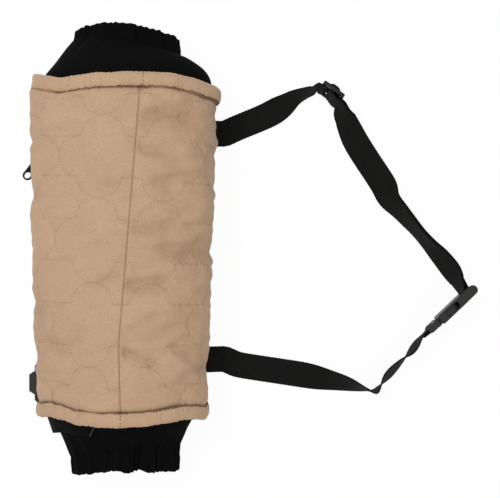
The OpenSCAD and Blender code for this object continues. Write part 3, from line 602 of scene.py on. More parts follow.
def cloth_frame(s, y, ds, dy):
    """Point, direction along (ds, dy) and outward normal of the outer cloth."""
    h = FRAME_STEP
    here = shell_point(s, y)
    ahead = shell_point(s + ds * h, y + dy * h)
    left = shell_point(s - dy * h, y + ds * h)
    return here, ahead - here, np.cross(ahead - here, left - here)


# Materials

# Nap: how it is drawn out, and the part of its fibres in the height and the tone
NAP_DRAWN = (1.0, 0.7, 1.0)
NAP_FIBRES = (0.8, 0.72)
NAP_ROUGHNESS, NAP_BUMP = 0.92, 0.5
SHEEN_ROUGHNESS = 0.45
# Weave: heights of its ribs and yarns, and the offset of the ribs from one warp to the next
RIB_HEIGHT, YARN_HEIGHT = 0.35, 0.5
RIB_SHIFT = 0.06
WEAVE_BUMP = 0.8
GRAIN_SCALES = {"Pit Scale": 2600.0, "Smear Scale": 140.0}
GRAIN_TONES = (0.85, 1.15)
GRAIN_SPECULAR, GRAIN_BUMP = 0.35, 0.25
# Noises: detail and roughness
FIBRE_NOISE, MOTTLE_NOISE, PIT_NOISE, SMEAR_NOISE = (3.0, 0.65), (4.0, 0.6), (2.0, 0.5), (3.0, 0.6)


def node_tree(owner):
    """Emptied nodes of a tree, and its links."""
    owner.nodes.clear()
    return owner.nodes, owner.links


def make_group(name, scales, fill):
    """Shader group of float inputs to a height and a tone, filled once and then found by name."""
    if name in bpy.data.node_groups:
        return bpy.data.node_groups[name]
    group = bpy.data.node_groups.new(name, "ShaderNodeTree")
    sockets = [(key, "INPUT") for key in scales] + [("Height", "OUTPUT"), ("Tone", "OUTPUT")]
    for key, way in sockets:
        group.interface.new_socket(name=key, in_out=way, socket_type="NodeSocketFloat")
    given, result = group.nodes.new("NodeGroupInput"), group.nodes.new("NodeGroupOutput")
    height, tone = fill(group, given.outputs)
    group.links.new(height, result.inputs["Height"])
    group.links.new(tone, result.inputs["Tone"])
    return group


def add_math(tree, operation, *values):
    """Math node whose inputs are numbers or sockets."""
    node = tree.nodes.new("ShaderNodeMath")
    node.operation = operation
    for socket, value in zip(node.inputs, values):
        if isinstance(value, (int, float)):
            socket.default_value = value
        else:
            tree.links.new(value, socket)
    return node.outputs[0]


def add_noise(tree, vector, scale, detail, rough):
    """Noise at a vector, of a scale that comes from a socket."""
    node = tree.nodes.new("ShaderNodeTexNoise")
    node.inputs["Detail"].default_value = detail
    node.inputs["Roughness"].default_value = rough
    tree.links.new(vector, node.inputs["Vector"])
    tree.links.new(scale, node.inputs["Scale"])
    return node.outputs["Fac"]


def nap_fill(tree, given):
    """Brushed nap: fibre noise drawn out along Y over a coarse mottling, in Object coordinates."""
    place = tree.nodes.new("ShaderNodeTexCoord").outputs["Object"]
    drawn = tree.nodes.new("ShaderNodeVectorMath")
    drawn.operation = "MULTIPLY"
    drawn.inputs[1].default_value = NAP_DRAWN
    tree.links.new(place, drawn.inputs[0])
    fibre = add_noise(tree, drawn.outputs[0], given["Fibre Scale"], *FIBRE_NOISE)
    mottle = add_noise(tree, place, given["Mottle Scale"], *MOTTLE_NOISE)
    for part in NAP_FIBRES:
        rest = add_math(tree, "MULTIPLY", mottle, 1 - part)
        yield add_math(tree, "MULTIPLY_ADD", fibre, part, rest)


def weave_fill(tree, given):
    """Flat weave on UVs in metres: weft ribs across the band, and warp yarns along it."""
    parts = tree.nodes.new("ShaderNodeSeparateXYZ")
    tree.links.new(tree.nodes.new("ShaderNodeUVMap").outputs["UV"], parts.inputs[0])
    warp = add_math(tree, "DIVIDE", parts.outputs["X"], given["Warp Pitch"])
    weft = add_math(tree, "DIVIDE", parts.outputs["Y"], given["Weft Pitch"])
    shift = add_math(tree, "MULTIPLY", add_math(tree, "FLOOR", warp), RIB_SHIFT)
    turns = add_math(tree, "MULTIPLY", add_math(tree, "ADD", weft, shift), TURN)
    rib = add_math(tree, "SINE", turns)
    half_turns = add_math(tree, "MULTIPLY", add_math(tree, "FRACT", warp), math.pi)
    yarn = add_math(tree, "MULTIPLY", add_math(tree, "SINE", half_turns), YARN_HEIGHT)
    yield add_math(tree, "ADD", add_math(tree, "MULTIPLY", rib, RIB_HEIGHT), yarn)
    # Tone follows the ribs: painted light on their crowns and painted shade between them
    yield add_math(tree, "ADD", add_math(tree, "MULTIPLY", rib, 0.5), 0.5)


def grain_fill(tree, given):
    """Moulded grain: fine pits for the bump and slow smears for the tone, in Object coordinates."""
    place = tree.nodes.new("ShaderNodeTexCoord").outputs["Object"]
    yield add_noise(tree, place, given["Pit Scale"], *PIT_NOISE)
    yield add_noise(tree, place, given["Smear Scale"], *SMEAR_NOISE)


def link_bump(material, shader, height, strength, distance):
    """Bump of that strength, with heights up to that distance."""
    bump = material.node_tree.nodes.new("ShaderNodeBump")
    bump.inputs["Strength"].default_value = strength
    bump.inputs["Distance"].default_value = distance
    material.node_tree.links.new(height, bump.inputs["Height"])
    material.node_tree.links.new(bump.outputs[0], shader.inputs["Normal"])


def link_tone(material, shader, tone, base, low, high, shade=None, deep=(0, 0, 0)):
    """Base colour times a tone from low to high, led to a deep colour by the point value shade."""
    tree = material.node_tree
    toned = tree.nodes.new("ShaderNodeMix")
    toned.data_type = "RGBA"
    toned.inputs["A"].default_value = (*np.multiply(base, low), 1)
    toned.inputs["B"].default_value = (*np.multiply(base, high), 1)
    tree.links.new(tone, toned.inputs["Factor"])
    result = toned.outputs["Result"]
    # The point value shade leads the colour to deep: painted shade in creases, or a painted
    # highlight on an edge
    if shade:
        value = tree.nodes.new("ShaderNodeAttribute")
        value.attribute_name = shade
        led = tree.nodes.new("ShaderNodeMix")
        led.data_type = "RGBA"
        led.inputs["B"].default_value = (*deep, 1)
        tree.links.new(value.outputs["Fac"], led.inputs["Factor"])
        tree.links.new(result, led.inputs["A"])
        result = led.outputs["Result"]
    tree.links.new(result, shader.inputs["Base Color"])


def link_gloss(material, shader, tone, low, high):
    """Roughness that runs from low to high with the tone."""
    spread = material.node_tree.nodes.new("ShaderNodeMapRange")
    spread.inputs["To Min"].default_value = low
    spread.inputs["To Max"].default_value = high
    material.node_tree.links.new(tone, spread.inputs["Value"])
    material.node_tree.links.new(spread.outputs[0], shader.inputs["Roughness"])


def add_material(name, base, group, scales, tones, bump, rough, specular, sheen=0.0, **shading):
    """Material from a group: its tone tints the base colour and its height is the bump.

    The plain values sit on the shader's own sockets. rough is a low and a high roughness.
    """
    if name in bpy.data.materials:
        return bpy.data.materials[name]
    material = bpy.data.materials.new(name)
    material.use_nodes = True
    nodes, links = node_tree(material.node_tree)
    shader = nodes.new("ShaderNodeBsdfPrincipled")
    shader.inputs["Roughness"].default_value = rough[0]
    shader.inputs["Specular IOR Level"].default_value = specular
    shader.inputs["Sheen Weight"].default_value = sheen
    shader.inputs["Sheen Roughness"].default_value = SHEEN_ROUGHNESS
    links.new(shader.outputs[0], nodes.new("ShaderNodeOutputMaterial").inputs[0])
    pattern = nodes.new("ShaderNodeGroup")
    pattern.node_tree = group
    for key, value in scales.items():
        pattern.inputs[key].default_value = value
    link_tone(material, shader, pattern.outputs["Tone"], base, *tones, **shading)
    link_bump(material, shader, pattern.outputs["Height"], *bump)
    if rough[0] < rough[1]:
        link_gloss(material, shader, pattern.outputs["Tone"], *rough)
    return material


def cloth_material(name, base, fibre, mottle, bump, sheen, tones=(0.9, 1.1), specular=0.25, **more):
    """Napped cloth: mottled colour, soft sheen and fibre bump."""
    scales = {"Fibre Scale": fibre, "Mottle Scale": mottle}
    nap = make_group("cloth_nap", scales, nap_fill)
    rough = (NAP_ROUGHNESS, NAP_ROUGHNESS)
    return add_material(
        name, base, nap, scales, tones, (NAP_BUMP, bump), rough, specular, sheen, **more
    )


def woven_material(name, base, weft, warp, bump, tones, rough=0.75, specular=0.2, **more):
    """Flat woven band: ribs and warps in the bump, painted light on the rib crowns and painted
    shade between.
    """
    scales = {"Weft Pitch": weft, "Warp Pitch": warp}
    weave = make_group("band_weave", scales, weave_fill)
    bump = (WEAVE_BUMP, bump)
    return add_material(name, base, weave, scales, tones, bump, (rough, rough), specular, **more)


def moulded_material(name, base, rough, bump):
    """Moulded or enamelled surface: faint pits, and gloss that varies in slow smears."""
    grain = make_group("moulded_grain", GRAIN_SCALES, grain_fill)
    bump = (GRAIN_BUMP, bump)
    return add_material(
        name, base, grain, GRAIN_SCALES, GRAIN_TONES, bump, rough, GRAIN_SPECULAR
    )


def shell_cloth():
    c = colours()
    # The point value leads the cloth's colour to a painted crease shade
    return cloth_material(
        "brushed_cloth", c.shell, fibre=1050, mottle=45, bump=0.25 * MM, sheen=0.2,
        tones=((0.58, 0.54, 0.50), (1.42, 1.44, 1.46)), shade="painted_shade", deep=c.painted_crease_shade,
    )


def fleece_cloth():
    return cloth_material(
        "fleece", colours().fleece, fibre=900, mottle=120, bump=0.5 * MM, sheen=0.0,
        tones=(0.6, 1.5), specular=0.04,
    )


def thread_material(name, base):
    return cloth_material(
        name, base, fibre=3000, mottle=300, bump=0.08 * MM, sheen=0.1, tones=(0.8, 1.2)
    )


def strap_weave():
    return woven_material(
        "webbing_weave", colours().webbing, weft=1.7 * MM, warp=1.2 * MM, bump=0.35 * MM,
        tones=(0.35, 1.65), rough=0.8, specular=0.12,
    )


def black_plastic():
    return moulded_material(
        "moulded_plastic", colours().plastic, rough=(0.38, 0.55), bump=0.05 * MM
    )


def black_enamel():
    return moulded_material("black_enamel", colours().enamel, rough=(0.22, 0.36), bump=0.02 * MM)


def teeth_plastic():
    return moulded_material("zip_teeth", colours().zip_teeth, rough=(0.35, 0.5), bump=0.02 * MM)


# Shell panels

CLOTH_STEP = 1.0 * MM
TURN_IN = (0.8 * MM, 2.2 * MM, 4.5 * MM)
EDGE_LIP = 0.25 * MM
TUCK_UNDER, TUCK_SINK = 5 * MM, 1.0 * MM

# Painted shade of the cloth in its lines, seams and creases: amount and half width
# At the seams the painted shade is partly the dark seam line itself
QUILT_SHADE, QUILT_LINE = 0.05, 0.9 * MM
SEAM_SHADE, SEAM_LINE = 0.5, 0.4 * MM
HEM_SHADE, HEM_LINE = 0.75, 0.9 * MM
CREASE_SHADE, CREASE_REACH = 0.5, 5 * MM
DEEPEST_SHADE = 0.95


def shell_painted_shade(s, y):
    """Painted shade of the outer cloth, from 0 to 1: deep in its stitched lines, creases and folds.
    """
    edge = np.abs(shell_end() - np.abs(y))
    past = s - seam_arc(y)
    painted_shade = QUILT_SHADE * np.exp(-quilt_distance(s, y) / QUILT_LINE)
    painted_shade = painted_shade + SEAM_SHADE * hump(past, SEAM_LINE) + HEM_SHADE * hump(edge, HEM_LINE)
    painted_shade = painted_shade + CREASE_SHADE * hem_creases(s, y, np.exp(-edge / CREASE_REACH))
    painted_shade = painted_shade - (drag_folds(past, y) + pinches(s, y)) * PAINTED_FOLD_SHADE
    return np.clip(painted_shade, 0, DEEPEST_SHADE)


def add_panel(name, start, stop, node):
    """Quilted panel: the outer cloth on a grid of rows along y, its edges turned in to the padding.

    Columns run evenly by arc length from start(y) to stop(y), with a narrow lip at each edge.
    """
    end = shell_end() + TUCK_UNDER
    width = abs(stop(0.0) - start(0.0))
    y = np.linspace(-end, end, int(2 * end / CLOTH_STEP))
    lip = EDGE_LIP / width
    flat = np.concatenate([[0], np.linspace(lip, 1 - lip, int(width / CLOTH_STEP)), [1]])
    turn = np.array(TURN_IN)
    u = np.concatenate([0 * turn, flat, 0 * turn + 1])
    sink = np.concatenate([turn[::-1], 0 * flat, turn])[None, :]
    s = start(y)[:, None] + (stop(y) - start(y))[:, None] * u[None, :]
    yy = np.broadcast_to(y[:, None], s.shape)
    t = angle_at(s)
    height = shell_height(s, yy, section(t, yy, 0.0)[..., 2])
    under = np.clip((np.abs(yy) - shell_end()) / TUCK_UNDER, 0, 1)
    grid = section(t, yy, -height + sink + TUCK_SINK * under)
    # Painted shade, kept as a point value that leads the colour to the painted crease shade
    painted_shade = shell_painted_shade(s, yy)
    if stop(0.0) < start(0.0):
        grid, painted_shade = grid[:, ::-1], painted_shade[:, ::-1]
    piece = add_grid(name, grid[::-1], shell_cloth(), values={"painted_shade": painted_shade[::-1]})
    return seat(piece, "muff", "brushed_shell", node)


def zip_edge_left(y):
    """Arc length of the left panel's edge along the zip."""
    return arc_at(ZIP_T - zip_half_angle(y))


def zip_edge_right(y):
    """Arc length of the right panel's edge along the zip."""
    return arc_at(ZIP_T - TURN + zip_half_angle(y))


LATTICE_COLUMNS, LATTICE_ROWS = np.arange(-4, 6), np.arange(-3, 4)
ARC_SAMPLES = 90
QUILT_MARGIN, SEAM_MARGIN = 3 * MM, 1.5 * MM
SEAM_PITCH = 2.4 * MM
# Angles round a hem's bead: of the stitches along its seam, and of those of the front seam
HEM_SEAM_AT = math.radians(-66)
HEM_CROSSED = np.radians(np.linspace(-62, 62, 6))


class MUFF_OT_shell(Operator):
    """Quilted outer panels with their quilting and seam stitches"""

    bl_idname = "muff.shell"
    bl_label = "Shell"

    def execute(self, context):
        left, right = (lambda y: seam_arc(y) - SEAM_GAP), (lambda y: seam_arc(y) + SEAM_GAP)
        add_panel("left_panel", left, zip_edge_left, "shell_left_panel")
        add_panel("right_panel", right, zip_edge_right, "shell_right_panel")
        self.quilting_stitches()
        self.seam_stitches()
        return {"FINISHED"}

    def quilting_stitches(self):
        """Stitches along the half circles and links of every quatrefoil that lies on its panel."""
        b = body()
        half = np.array([b.cell_width, b.cell_height]) / 2
        turn = np.linspace(0, math.pi, ARC_SAMPLES)
        bow, sweep = 0.5 + 0.5 * np.sin(turn), 0.5 * np.cos(turn)
        top = spaced(half * np.stack([sweep, bow], axis=1), STITCH_PITCH)
        side = spaced(half * np.stack([bow, sweep], axis=1), STITCH_PITCH)
        link = spaced(half * [[0.5, 0.5], [1.5, 0.5]], STITCH_PITCH)
        lines = (top, side, -top, -side, link, link * [1, -1])
        along, up = np.concatenate(lines).T
        heading = np.concatenate([np.gradient(line, axis=0) for line in lines])
        i, j = (k.ravel() for k in np.meshgrid(LATTICE_COLUMNS, LATTICE_ROWS, indexing="ij"))
        y = ((QUILT_Y0 + j * b.cell_height)[:, None] + up).ravel()
        found = []
        for panel, (middle, drift) in ((-1, LEFT_LATTICE), (1, RIGHT_LATTICE)):
            s = ((middle + i * b.cell_width)[:, None] + along).ravel() + drift * (y - QUILT_Y0)
            keep = np.abs(y) < shell_end() - QUILT_MARGIN
            keep &= panel * (s - seam_arc(y)) > SEAM_MARGIN
            keep &= (s > zip_edge_left(y) + QUILT_MARGIN) & (s < zip_edge_right(y) - QUILT_MARGIN)
            found.append(np.column_stack([s, y, np.tile(heading, (i.size, 1))])[keep])
        s, y, ds, dy = np.concatenate(found).T
        size = np.hypot(ds, dy)
        placed = cloth_frame(s, y, ds / size, dy / size)
        thread = thread_material("quilting_thread", colours().thread)
        piece = add_stitches("quilting_stitches", *placed, QUILT_STITCH, thread)
        seat(piece, "muff", "brushed_shell")

    def seam_stitches(self):
        """Stitches that show along both hem seams, and where the front seam crosses the hems."""
        rows = []
        for side in (-1, 1):
            t = angle_at(np.arange(zip_edge_left(0.0), zip_edge_right(0.0), SEAM_PITCH))
            rows.append(hem_frame(side, t, 0 * t + HEM_SEAM_AT, True))
            front = angle_at(seam_arc(0 * HEM_CROSSED + side * shell_end()))
            rows.append(hem_frame(side, front, HEM_CROSSED, False))
        placed = (np.concatenate(parts) for parts in zip(*rows))
        thread = thread_material("seam_thread", colours().seam_thread)
        piece = add_stitches("seam_stitches", *placed, SEAM_STITCH, thread)
        seat(piece, "muff", "brushed_shell")


# Hems

HEM_PROUD = 1.5 * MM
HEM_COLUMNS = 960
HEM_SIDES = 40
HEM_SQUARE, HEM_ROUND = 2.5, 2.3
UPPER_HEM_SHIFT = 2.4 * MM
UPPER_HEM_INSET = 1.6 * MM
# Tuck in the upper hem: arc length from the crown, slant, half width and depth
HEM_TUCK = (-44 * MM, 3 * MM, 1.8 * MM, 0.5)
HEM_DENT, HEM_SWELL, HEM_WIDEN = 0.5, 0.06, 0.35 * MM
# Ripples of a hem: height, wavelength and seed, for its width, its sewn edge and its free edge
WIDTH_WAVER = (1.0, 24 * MM, 41)
SEWN_WAVER = (0.35 * MM, 9 * MM, 51)
FREE_WAVER = (0.22 * MM, 4 * MM, 55)
WIDTH_LIMIT = 1.5
# Painted shade on a hem: in its creases, and at its sewn edge partly the dark seam line, partly
# painted shadow
HEM_CREASE_SHADE = 0.35
HEM_SEAM_SHADE, HEM_SEAM_SHARP = 0.9, 16
SEWN_POWER = 1.5
# How steeply, and how far past the outer face, dents fade towards the inside of a hem
DENT_FADE, DENT_PAST = 2, 0.6
HEM_STEP_ROUND, HEM_STEP_ACROSS = 0.01, 0.05
BACK_SPLIT = math.radians(245)


def hem_sewn(q):
    """1 at the sewn edge of a hem, 0 at its free edge."""
    return (0.5 - 0.5 * np.sin(q)) ** SEWN_POWER


def hem_run(t):
    """Arc length from the crown, measured both ways from it to the back."""
    return arc_at(np.where(t > BACK_SPLIT, t - TURN, t))


def hem_point(side, t, q):
    """Rolled hem: an oval bead round the section, q from the outer face towards the free edge.

    Creases dent the bead from its sewn edge, a tuck crosses the upper hem, and both edges waver.
    """
    b = body()
    half, deep = b.hem_width / 2, b.hem_thick / 2
    run, upper = hem_run(t), max(side, 0)
    wide = np.clip(waves(run, 0, WIDTH_WAVER, side), -WIDTH_LIMIT, WIDTH_LIMIT)
    at, slant, reach, depth = HEM_TUCK
    tuck = upper * depth * hump(run - at - slant * np.sin(q), reach)
    dent = HEM_DENT * hem_creases(run, side + 0 * t, hem_sewn(q)) + tuck
    outer = step(np.cos(q) * DENT_FADE + DENT_PAST)
    swell = 1 - dent * outer + HEM_SWELL * wide
    y = b.body_length / 2 - half + half * power(np.sin(q), HEM_SQUARE) + HEM_WIDEN * wide
    y = y + waves(run, 0, SEWN_WAVER, side) * hem_sewn(q)
    y = side * (y + waves(run, 0, FREE_WAVER, side) * hem_sewn(-q))
    d = deep - HEM_PROUD - deep * power(np.cos(q), HEM_ROUND) * swell
    point = section(t, y, d + upper * UPPER_HEM_INSET * np.abs(np.cos(t)))
    point[..., 0] += UPPER_HEM_SHIFT * upper
    return point


def hem_frame(side, t, q, round_hem):
    """Point, direction and outward normal on a hem, the direction round it or across it."""
    here = hem_point(side, t, q)
    ahead = hem_point(side, t - HEM_STEP_ROUND, q) - here
    across = hem_point(side, t, q + HEM_STEP_ACROSS) - here
    return here, ahead if round_hem else across, np.cross(ahead, across) * side


class MUFF_OT_hems(Operator):
    """Rolled hems at both ends of the body"""

    bl_idname = "muff.hems"
    bl_label = "Hems"

    def execute(self, context):
        qq, tt = np.meshgrid(around(HEM_SIDES), around(HEM_COLUMNS), indexing="ij")
        for side, name in ((1, "upper_hem"), (-1, "lower_hem")):
            creased = hem_creases(hem_run(tt), side + 0 * tt, hem_sewn(qq))
            # Painted shade: darkest at the sewn edge and in the creases
            painted_shade = HEM_SEAM_SHADE * np.clip(-np.sin(qq), 0, 1) ** HEM_SEAM_SHARP
            painted_shade = np.clip(painted_shade + HEM_CREASE_SHADE * creased, 0, DEEPEST_SHADE)
            piece = add_grid(
                name + "_roll", hem_point(side, tt, qq), shell_cloth(), True, True,
                values={"painted_shade": painted_shade}, weld=True,
            )
            seat(piece, "muff", "brushed_shell", name)
        return {"FINISHED"}


# Cuffs

SOFT_GAP = 0.6 * MM
CUFF_COLUMNS = 560
ROOT_SHORT = 1 * MM
MOUTH_X = {1: 4 * MM, -1: 1 * MM}
MOUTH_LIFT = 5 * MM
MOUTH_SLANT = {1: 0.07, -1: -0.03}
MOUTH_DRAW = {1: 0.04, -1: 0.02}
MOUTH_ARCH = {1: 5 * MM, -1: -6 * MM}
MOUTH_PULL = {1: 2 * MM, -1: 4.5 * MM}

# Neck of each cuff on its free and its strap side: where it begins and ends, how late it bends
NECK = {1: ((0.0, 0.88, 1.0), (0.05, 0.73, 2.6)), -1: ((0.0, 0.78, 1.0), (0.0, 0.66, 1.0))}

# Ripples round a cuff: height, wavelength in radians, seed and stretch
UNEVEN, PLEAT_UNEVEN, BILLOW = (1.0, 0.5, 61), (0.3, 0.7, 65), (1.5 * MM, 0.8, 71, 0.7)
PLEAT_WANDER, PLEAT_MEAN, PLEAT_HEIGHT = 2.2, 0.7, 0.5 * MM
BROAD_SHARE, BROAD_WANDER, BROAD_TWIST, BROAD_HEIGHT = 0.37, 2.6, 1.5, 1.3 * MM
BILLOW_RAMP, BILLOW_DRAWN, BILLOW_ROOT = 0.25, 0.6, 0.4
WAIST_DEPTH, WAIST_AT, WAIST_HALF = 0.4 * MM, 0.79, 0.04
EDGE_PLEAT, EDGE_UNEVEN = 0.45 * MM, 0.8 * MM
# Where along a cuff these set in and over how much they grow, from its root at 0 to its mouth at 1
PLEAT_ZONE, BROAD_ZONE, DRAW_ZONE = (0.5, 0.35), (0.1, 0.5), (0.7, 0.3)
EDGE_PLEAT_ZONE, EDGE_UNEVEN_ZONE = (0.8, 0.2), (0.5, 0.5)

# Rows of a cuff's outer wall, rolled edge and casing, and the casing's end along the cuff
CUFF_ROWS, EDGE_ROWS, CASING_ROWS = 64, 9, 20
CASING_END = 0.72
EDGE_ROLL = 0.035
HALF_WALL = 2.6 * MM

# Outline of an elastic: places along the cuff, depths under its face and lengths round the outline
ELASTIC_AT = (0.79, 0.79, 0.84, 0.89, 0.935, 0.935, 0.89, 0.84)
ELASTIC_DEPTH = np.array([3.0, 2.2, 2.0, 2.0, 2.2, 3.0, 3.2, 3.2]) * MM
ELASTIC_ROUND = np.array([0, 1, 4, 7, 10, 11, 14, 17, 20]) * MM

LINING_COLUMNS, LINING_ROWS = 320, 140
LINING_DEPTH, LINING_PAST, LINING_THICK = 10.6 * MM, 4 * MM, 1.6 * MM
LINING_UNEVEN = (0.7 * MM, 40 * MM, 81)
FLARE, FLARE_BEFORE, FLARE_OVER = 4.2 * MM, 1 * MM, 5 * MM


def cuff_root():
    """Depth of a cuff under the body's section, where it leaves the hem."""
    b = body()
    return b.hem_thick - HEM_PROUD + SOFT_GAP


def cuff_run():
    """Length of a cuff from its root to its mouth, and the part of it under the hem."""
    b = body()
    root_in = b.hem_width - ROOT_SHORT
    return b.cuff_length + root_in, root_in


def cuff_point(side, t, w, d):
    """Fleece cuff: from the hem at w 0 to its mouth at w 1, sunk by d.

    The section blends into an oval mouth; the strap side of the upper cuff keeps its width longer,
    as a shoulder. Uneven pleats deepen towards the mouth, broad folds and billows cross the cuff,
    and the elastic draws a waist just before the edge.
    """
    b = body()
    run, root_in = cuff_run()
    strap_side = 0.5 + 0.5 * np.cos(t)
    begin, ready, late = (free + (strap - free) * strap_side for free, strap in zip(*NECK[side]))
    k = np.clip((w - begin) / (ready - begin), 0, 1) ** late
    y = side * (b.body_length / 2 - root_in + run * w)
    uneven = waves(t, 0, UNEVEN, side)
    pleat = np.cos(b.pleats * t + PLEAT_WANDER * uneven)
    pleat = pleat * (PLEAT_MEAN + waves(t, 0, PLEAT_UNEVEN, side))
    broad = np.cos(BROAD_SHARE * b.pleats * t + BROAD_WANDER * uneven + BROAD_TWIST * (w - 1))
    fold = PLEAT_HEIGHT * pleat * ramp(w, *PLEAT_ZONE)
    fold = fold + BROAD_HEIGHT * broad * ramp(w, *BROAD_ZONE)
    billow = waves(t, w, BILLOW, side)
    billow = billow * ramp(w, root_in / run, BILLOW_RAMP) * (1 - BILLOW_DRAWN * k)
    waist = WAIST_DEPTH * hump(w - WAIST_AT, WAIST_HALF) * k
    inward = d - k * fold - billow + waist
    root = section(t, y, cuff_root() + d - BILLOW_ROOT * billow)
    drawn = 1 - MOUTH_DRAW[side] * ramp(w, *DRAW_ZONE) ** 2
    x = (b.mouth_half_width - inward) * np.cos(t) * drawn
    edge = EDGE_PLEAT * pleat * ramp(w, *EDGE_PLEAT_ZONE)
    edge = edge + EDGE_UNEVEN * uneven * ramp(w, *EDGE_UNEVEN_ZONE)
    edge = edge - step(w) * (MOUTH_ARCH[side] * np.cos(t) ** 2 + MOUTH_PULL[side])
    mouth_y = y - MOUTH_SLANT[side] * x + side * edge
    mouth_z = b.mouth_half_height + MOUTH_LIFT + (b.mouth_half_height - inward) * np.sin(t)
    mouth = np.stack(np.broadcast_arrays(MOUTH_X[side] + x, mouth_y, mouth_z), axis=-1)
    return root + (mouth - root) * k[..., None]


def cuff_grid(side, w, d):
    """Rows round a cuff at those places along it and depths."""
    tt, ww = np.meshgrid(around(CUFF_COLUMNS), w)
    return cuff_point(side, tt, ww, np.broadcast_to(d[:, None], tt.shape))


class MUFF_OT_cuffs(Operator):
    """Gathered fleece cuffs with their elastics, and the lining between them"""

    bl_idname = "muff.cuffs"
    bl_label = "Cuffs and lining"

    def execute(self, context):
        for side, name in ((1, "upper_cuff"), (-1, "lower_cuff")):
            self.cuff(side, name)
            self.elastic(side, name + "_elastic")
        self.lining()
        return {"FINISHED"}

    def cuff(self, side, name):
        """Outer wall to the mouth, a rolled edge, and the turned-in casing round the elastic."""
        outer = np.linspace(0, 1, CUFF_ROWS)
        bend = np.radians(np.linspace(0, 180, EDGE_ROWS))[1:-1]
        inner = np.linspace(1, CASING_END, CASING_ROWS)
        w = np.concatenate([outer, 1 + EDGE_ROLL * np.sin(bend), inner])
        roll = HALF_WALL * (1 - np.cos(bend))
        d = np.concatenate([0 * outer, roll, 2 * HALF_WALL + 0 * inner])
        grid = cuff_grid(side, w, d)
        if side > 0:
            grid = grid[::-1]
        piece = add_grid(name + "_fleece", grid, fleece_cloth(), close_cols=True)
        seat(piece, "muff", "black_fleece", name)

    def elastic(self, side, node):
        """Band of woven elastic inside the casing, pleated with it."""
        run = TURN * body().half_width * np.arange(CUFF_COLUMNS + 1) / CUFF_COLUMNS
        uv = np.stack(np.meshgrid(run, ELASTIC_ROUND), axis=-1)[..., ::-1]
        woven = woven_material(
            "elastic_weave", colours().elastic, weft=1.8 * MM, warp=0.9 * MM, bump=0.2 * MM,
            tones=(0.85, 1.1),
        )
        grid = cuff_grid(side, ELASTIC_AT, ELASTIC_DEPTH)
        seat(add_grid(node + "_band", grid, woven, True, True, uv=uv), "muff", "elastic", node)

    def lining(self):
        """Fleece tube of the hand passage, a little uneven, its ends flared to meet the cuffs."""
        end = shell_end()
        y = np.linspace(-end - LINING_PAST, end + LINING_PAST, LINING_ROWS)
        tt, yy = np.meshgrid(around(LINING_COLUMNS), y)
        flare = ramp(np.abs(yy), end - FLARE_BEFORE, FLARE_OVER)
        uneven = waves(tt * body().half_width, yy, LINING_UNEVEN)
        grid = section(tt, yy, LINING_DEPTH - FLARE * flare + uneven * (1 - flare))
        piece = add_grid("lining_tube", grid, fleece_cloth(), close_cols=True)
        thicken(piece, LINING_THICK)
        seat(piece, "muff", "black_fleece", "lining")


# Padding and pocket bag

BATTING_SLIT = math.radians(15)
BATTING_COLUMNS, BATTING_ROWS = 260, 140
BATTING_SINK, BATTING_DEEP, BATTING_LEAST = 2.4 * MM, 7.4 * MM, 0.5 * MM
PUFF_FOLLOWED, DENT_FOLLOWED = 0.6, 1.0
POCKET_ANGLES = np.radians(np.linspace(173, 245, 60))
POCKET_RUN = np.linspace(-84 * MM, 108 * MM, 110)
POCKET_DEPTH, POCKET_THICK = 8.8 * MM, 0.5 * MM
POCKET_UNEVEN = (0.25 * MM, 22 * MM, 91)


class MUFF_OT_padding(Operator):
    """Fibre batting and the pocket bag, between the shell and the lining"""

    bl_idname = "muff.padding"
    bl_label = "Padding and pocket"

    def execute(self, context):
        self.batting()
        self.pocket()
        return {"FINISHED"}

    def batting(self):
        """Padding: the space under the outer cloth, dimpled by the quilting, open at the zip."""
        ends = ZIP_T - BATTING_SLIT, ZIP_T - TURN + BATTING_SLIT
        s = np.linspace(*arc_at(np.array(ends)), BATTING_COLUMNS)
        ss, yy = np.meshgrid(s, np.linspace(-shell_end(), shell_end(), BATTING_ROWS))
        t = angle_at(ss)
        height = shell_height(ss, yy, section(t, yy, 0.0)[..., 2])
        sunk = BATTING_SINK - np.where(height > 0, PUFF_FOLLOWED, DENT_FOLLOWED) * height
        outer = section(t, yy, sunk)
        inner = section(t, yy, np.maximum(BATTING_DEEP, sunk + BATTING_LEAST))
        grid = np.concatenate([outer, inner[::-1]])
        fluff = cloth_material(
            "fibre_batting", colours().padding, fibre=500, mottle=90, bump=0.8 * MM, sheen=0.2
        )
        piece = add_grid("batting_pad", grid[::-1], fluff, close_rows=True)
        seat(piece, "muff", "padding", "batting")

    def pocket(self):
        """Pocket bag: a thin cloth patch behind the zip."""
        tt, yy = np.meshgrid(POCKET_ANGLES, POCKET_RUN)
        uneven = waves(tt * body().half_width, yy, POCKET_UNEVEN)
        cloth = cloth_material(
            "pocket_cloth", colours().pocket, fibre=1800, mottle=200, bump=0.1 * MM, sheen=0.05
        )
        piece = add_grid("pocket_patch", section(tt, yy, POCKET_DEPTH + uneven), cloth)
        thicken(piece, POCKET_THICK)
        seat(piece, "muff", "pocket_cloth", "pocket_bag")


# Webbing, laid out in millimetres until it becomes a mesh

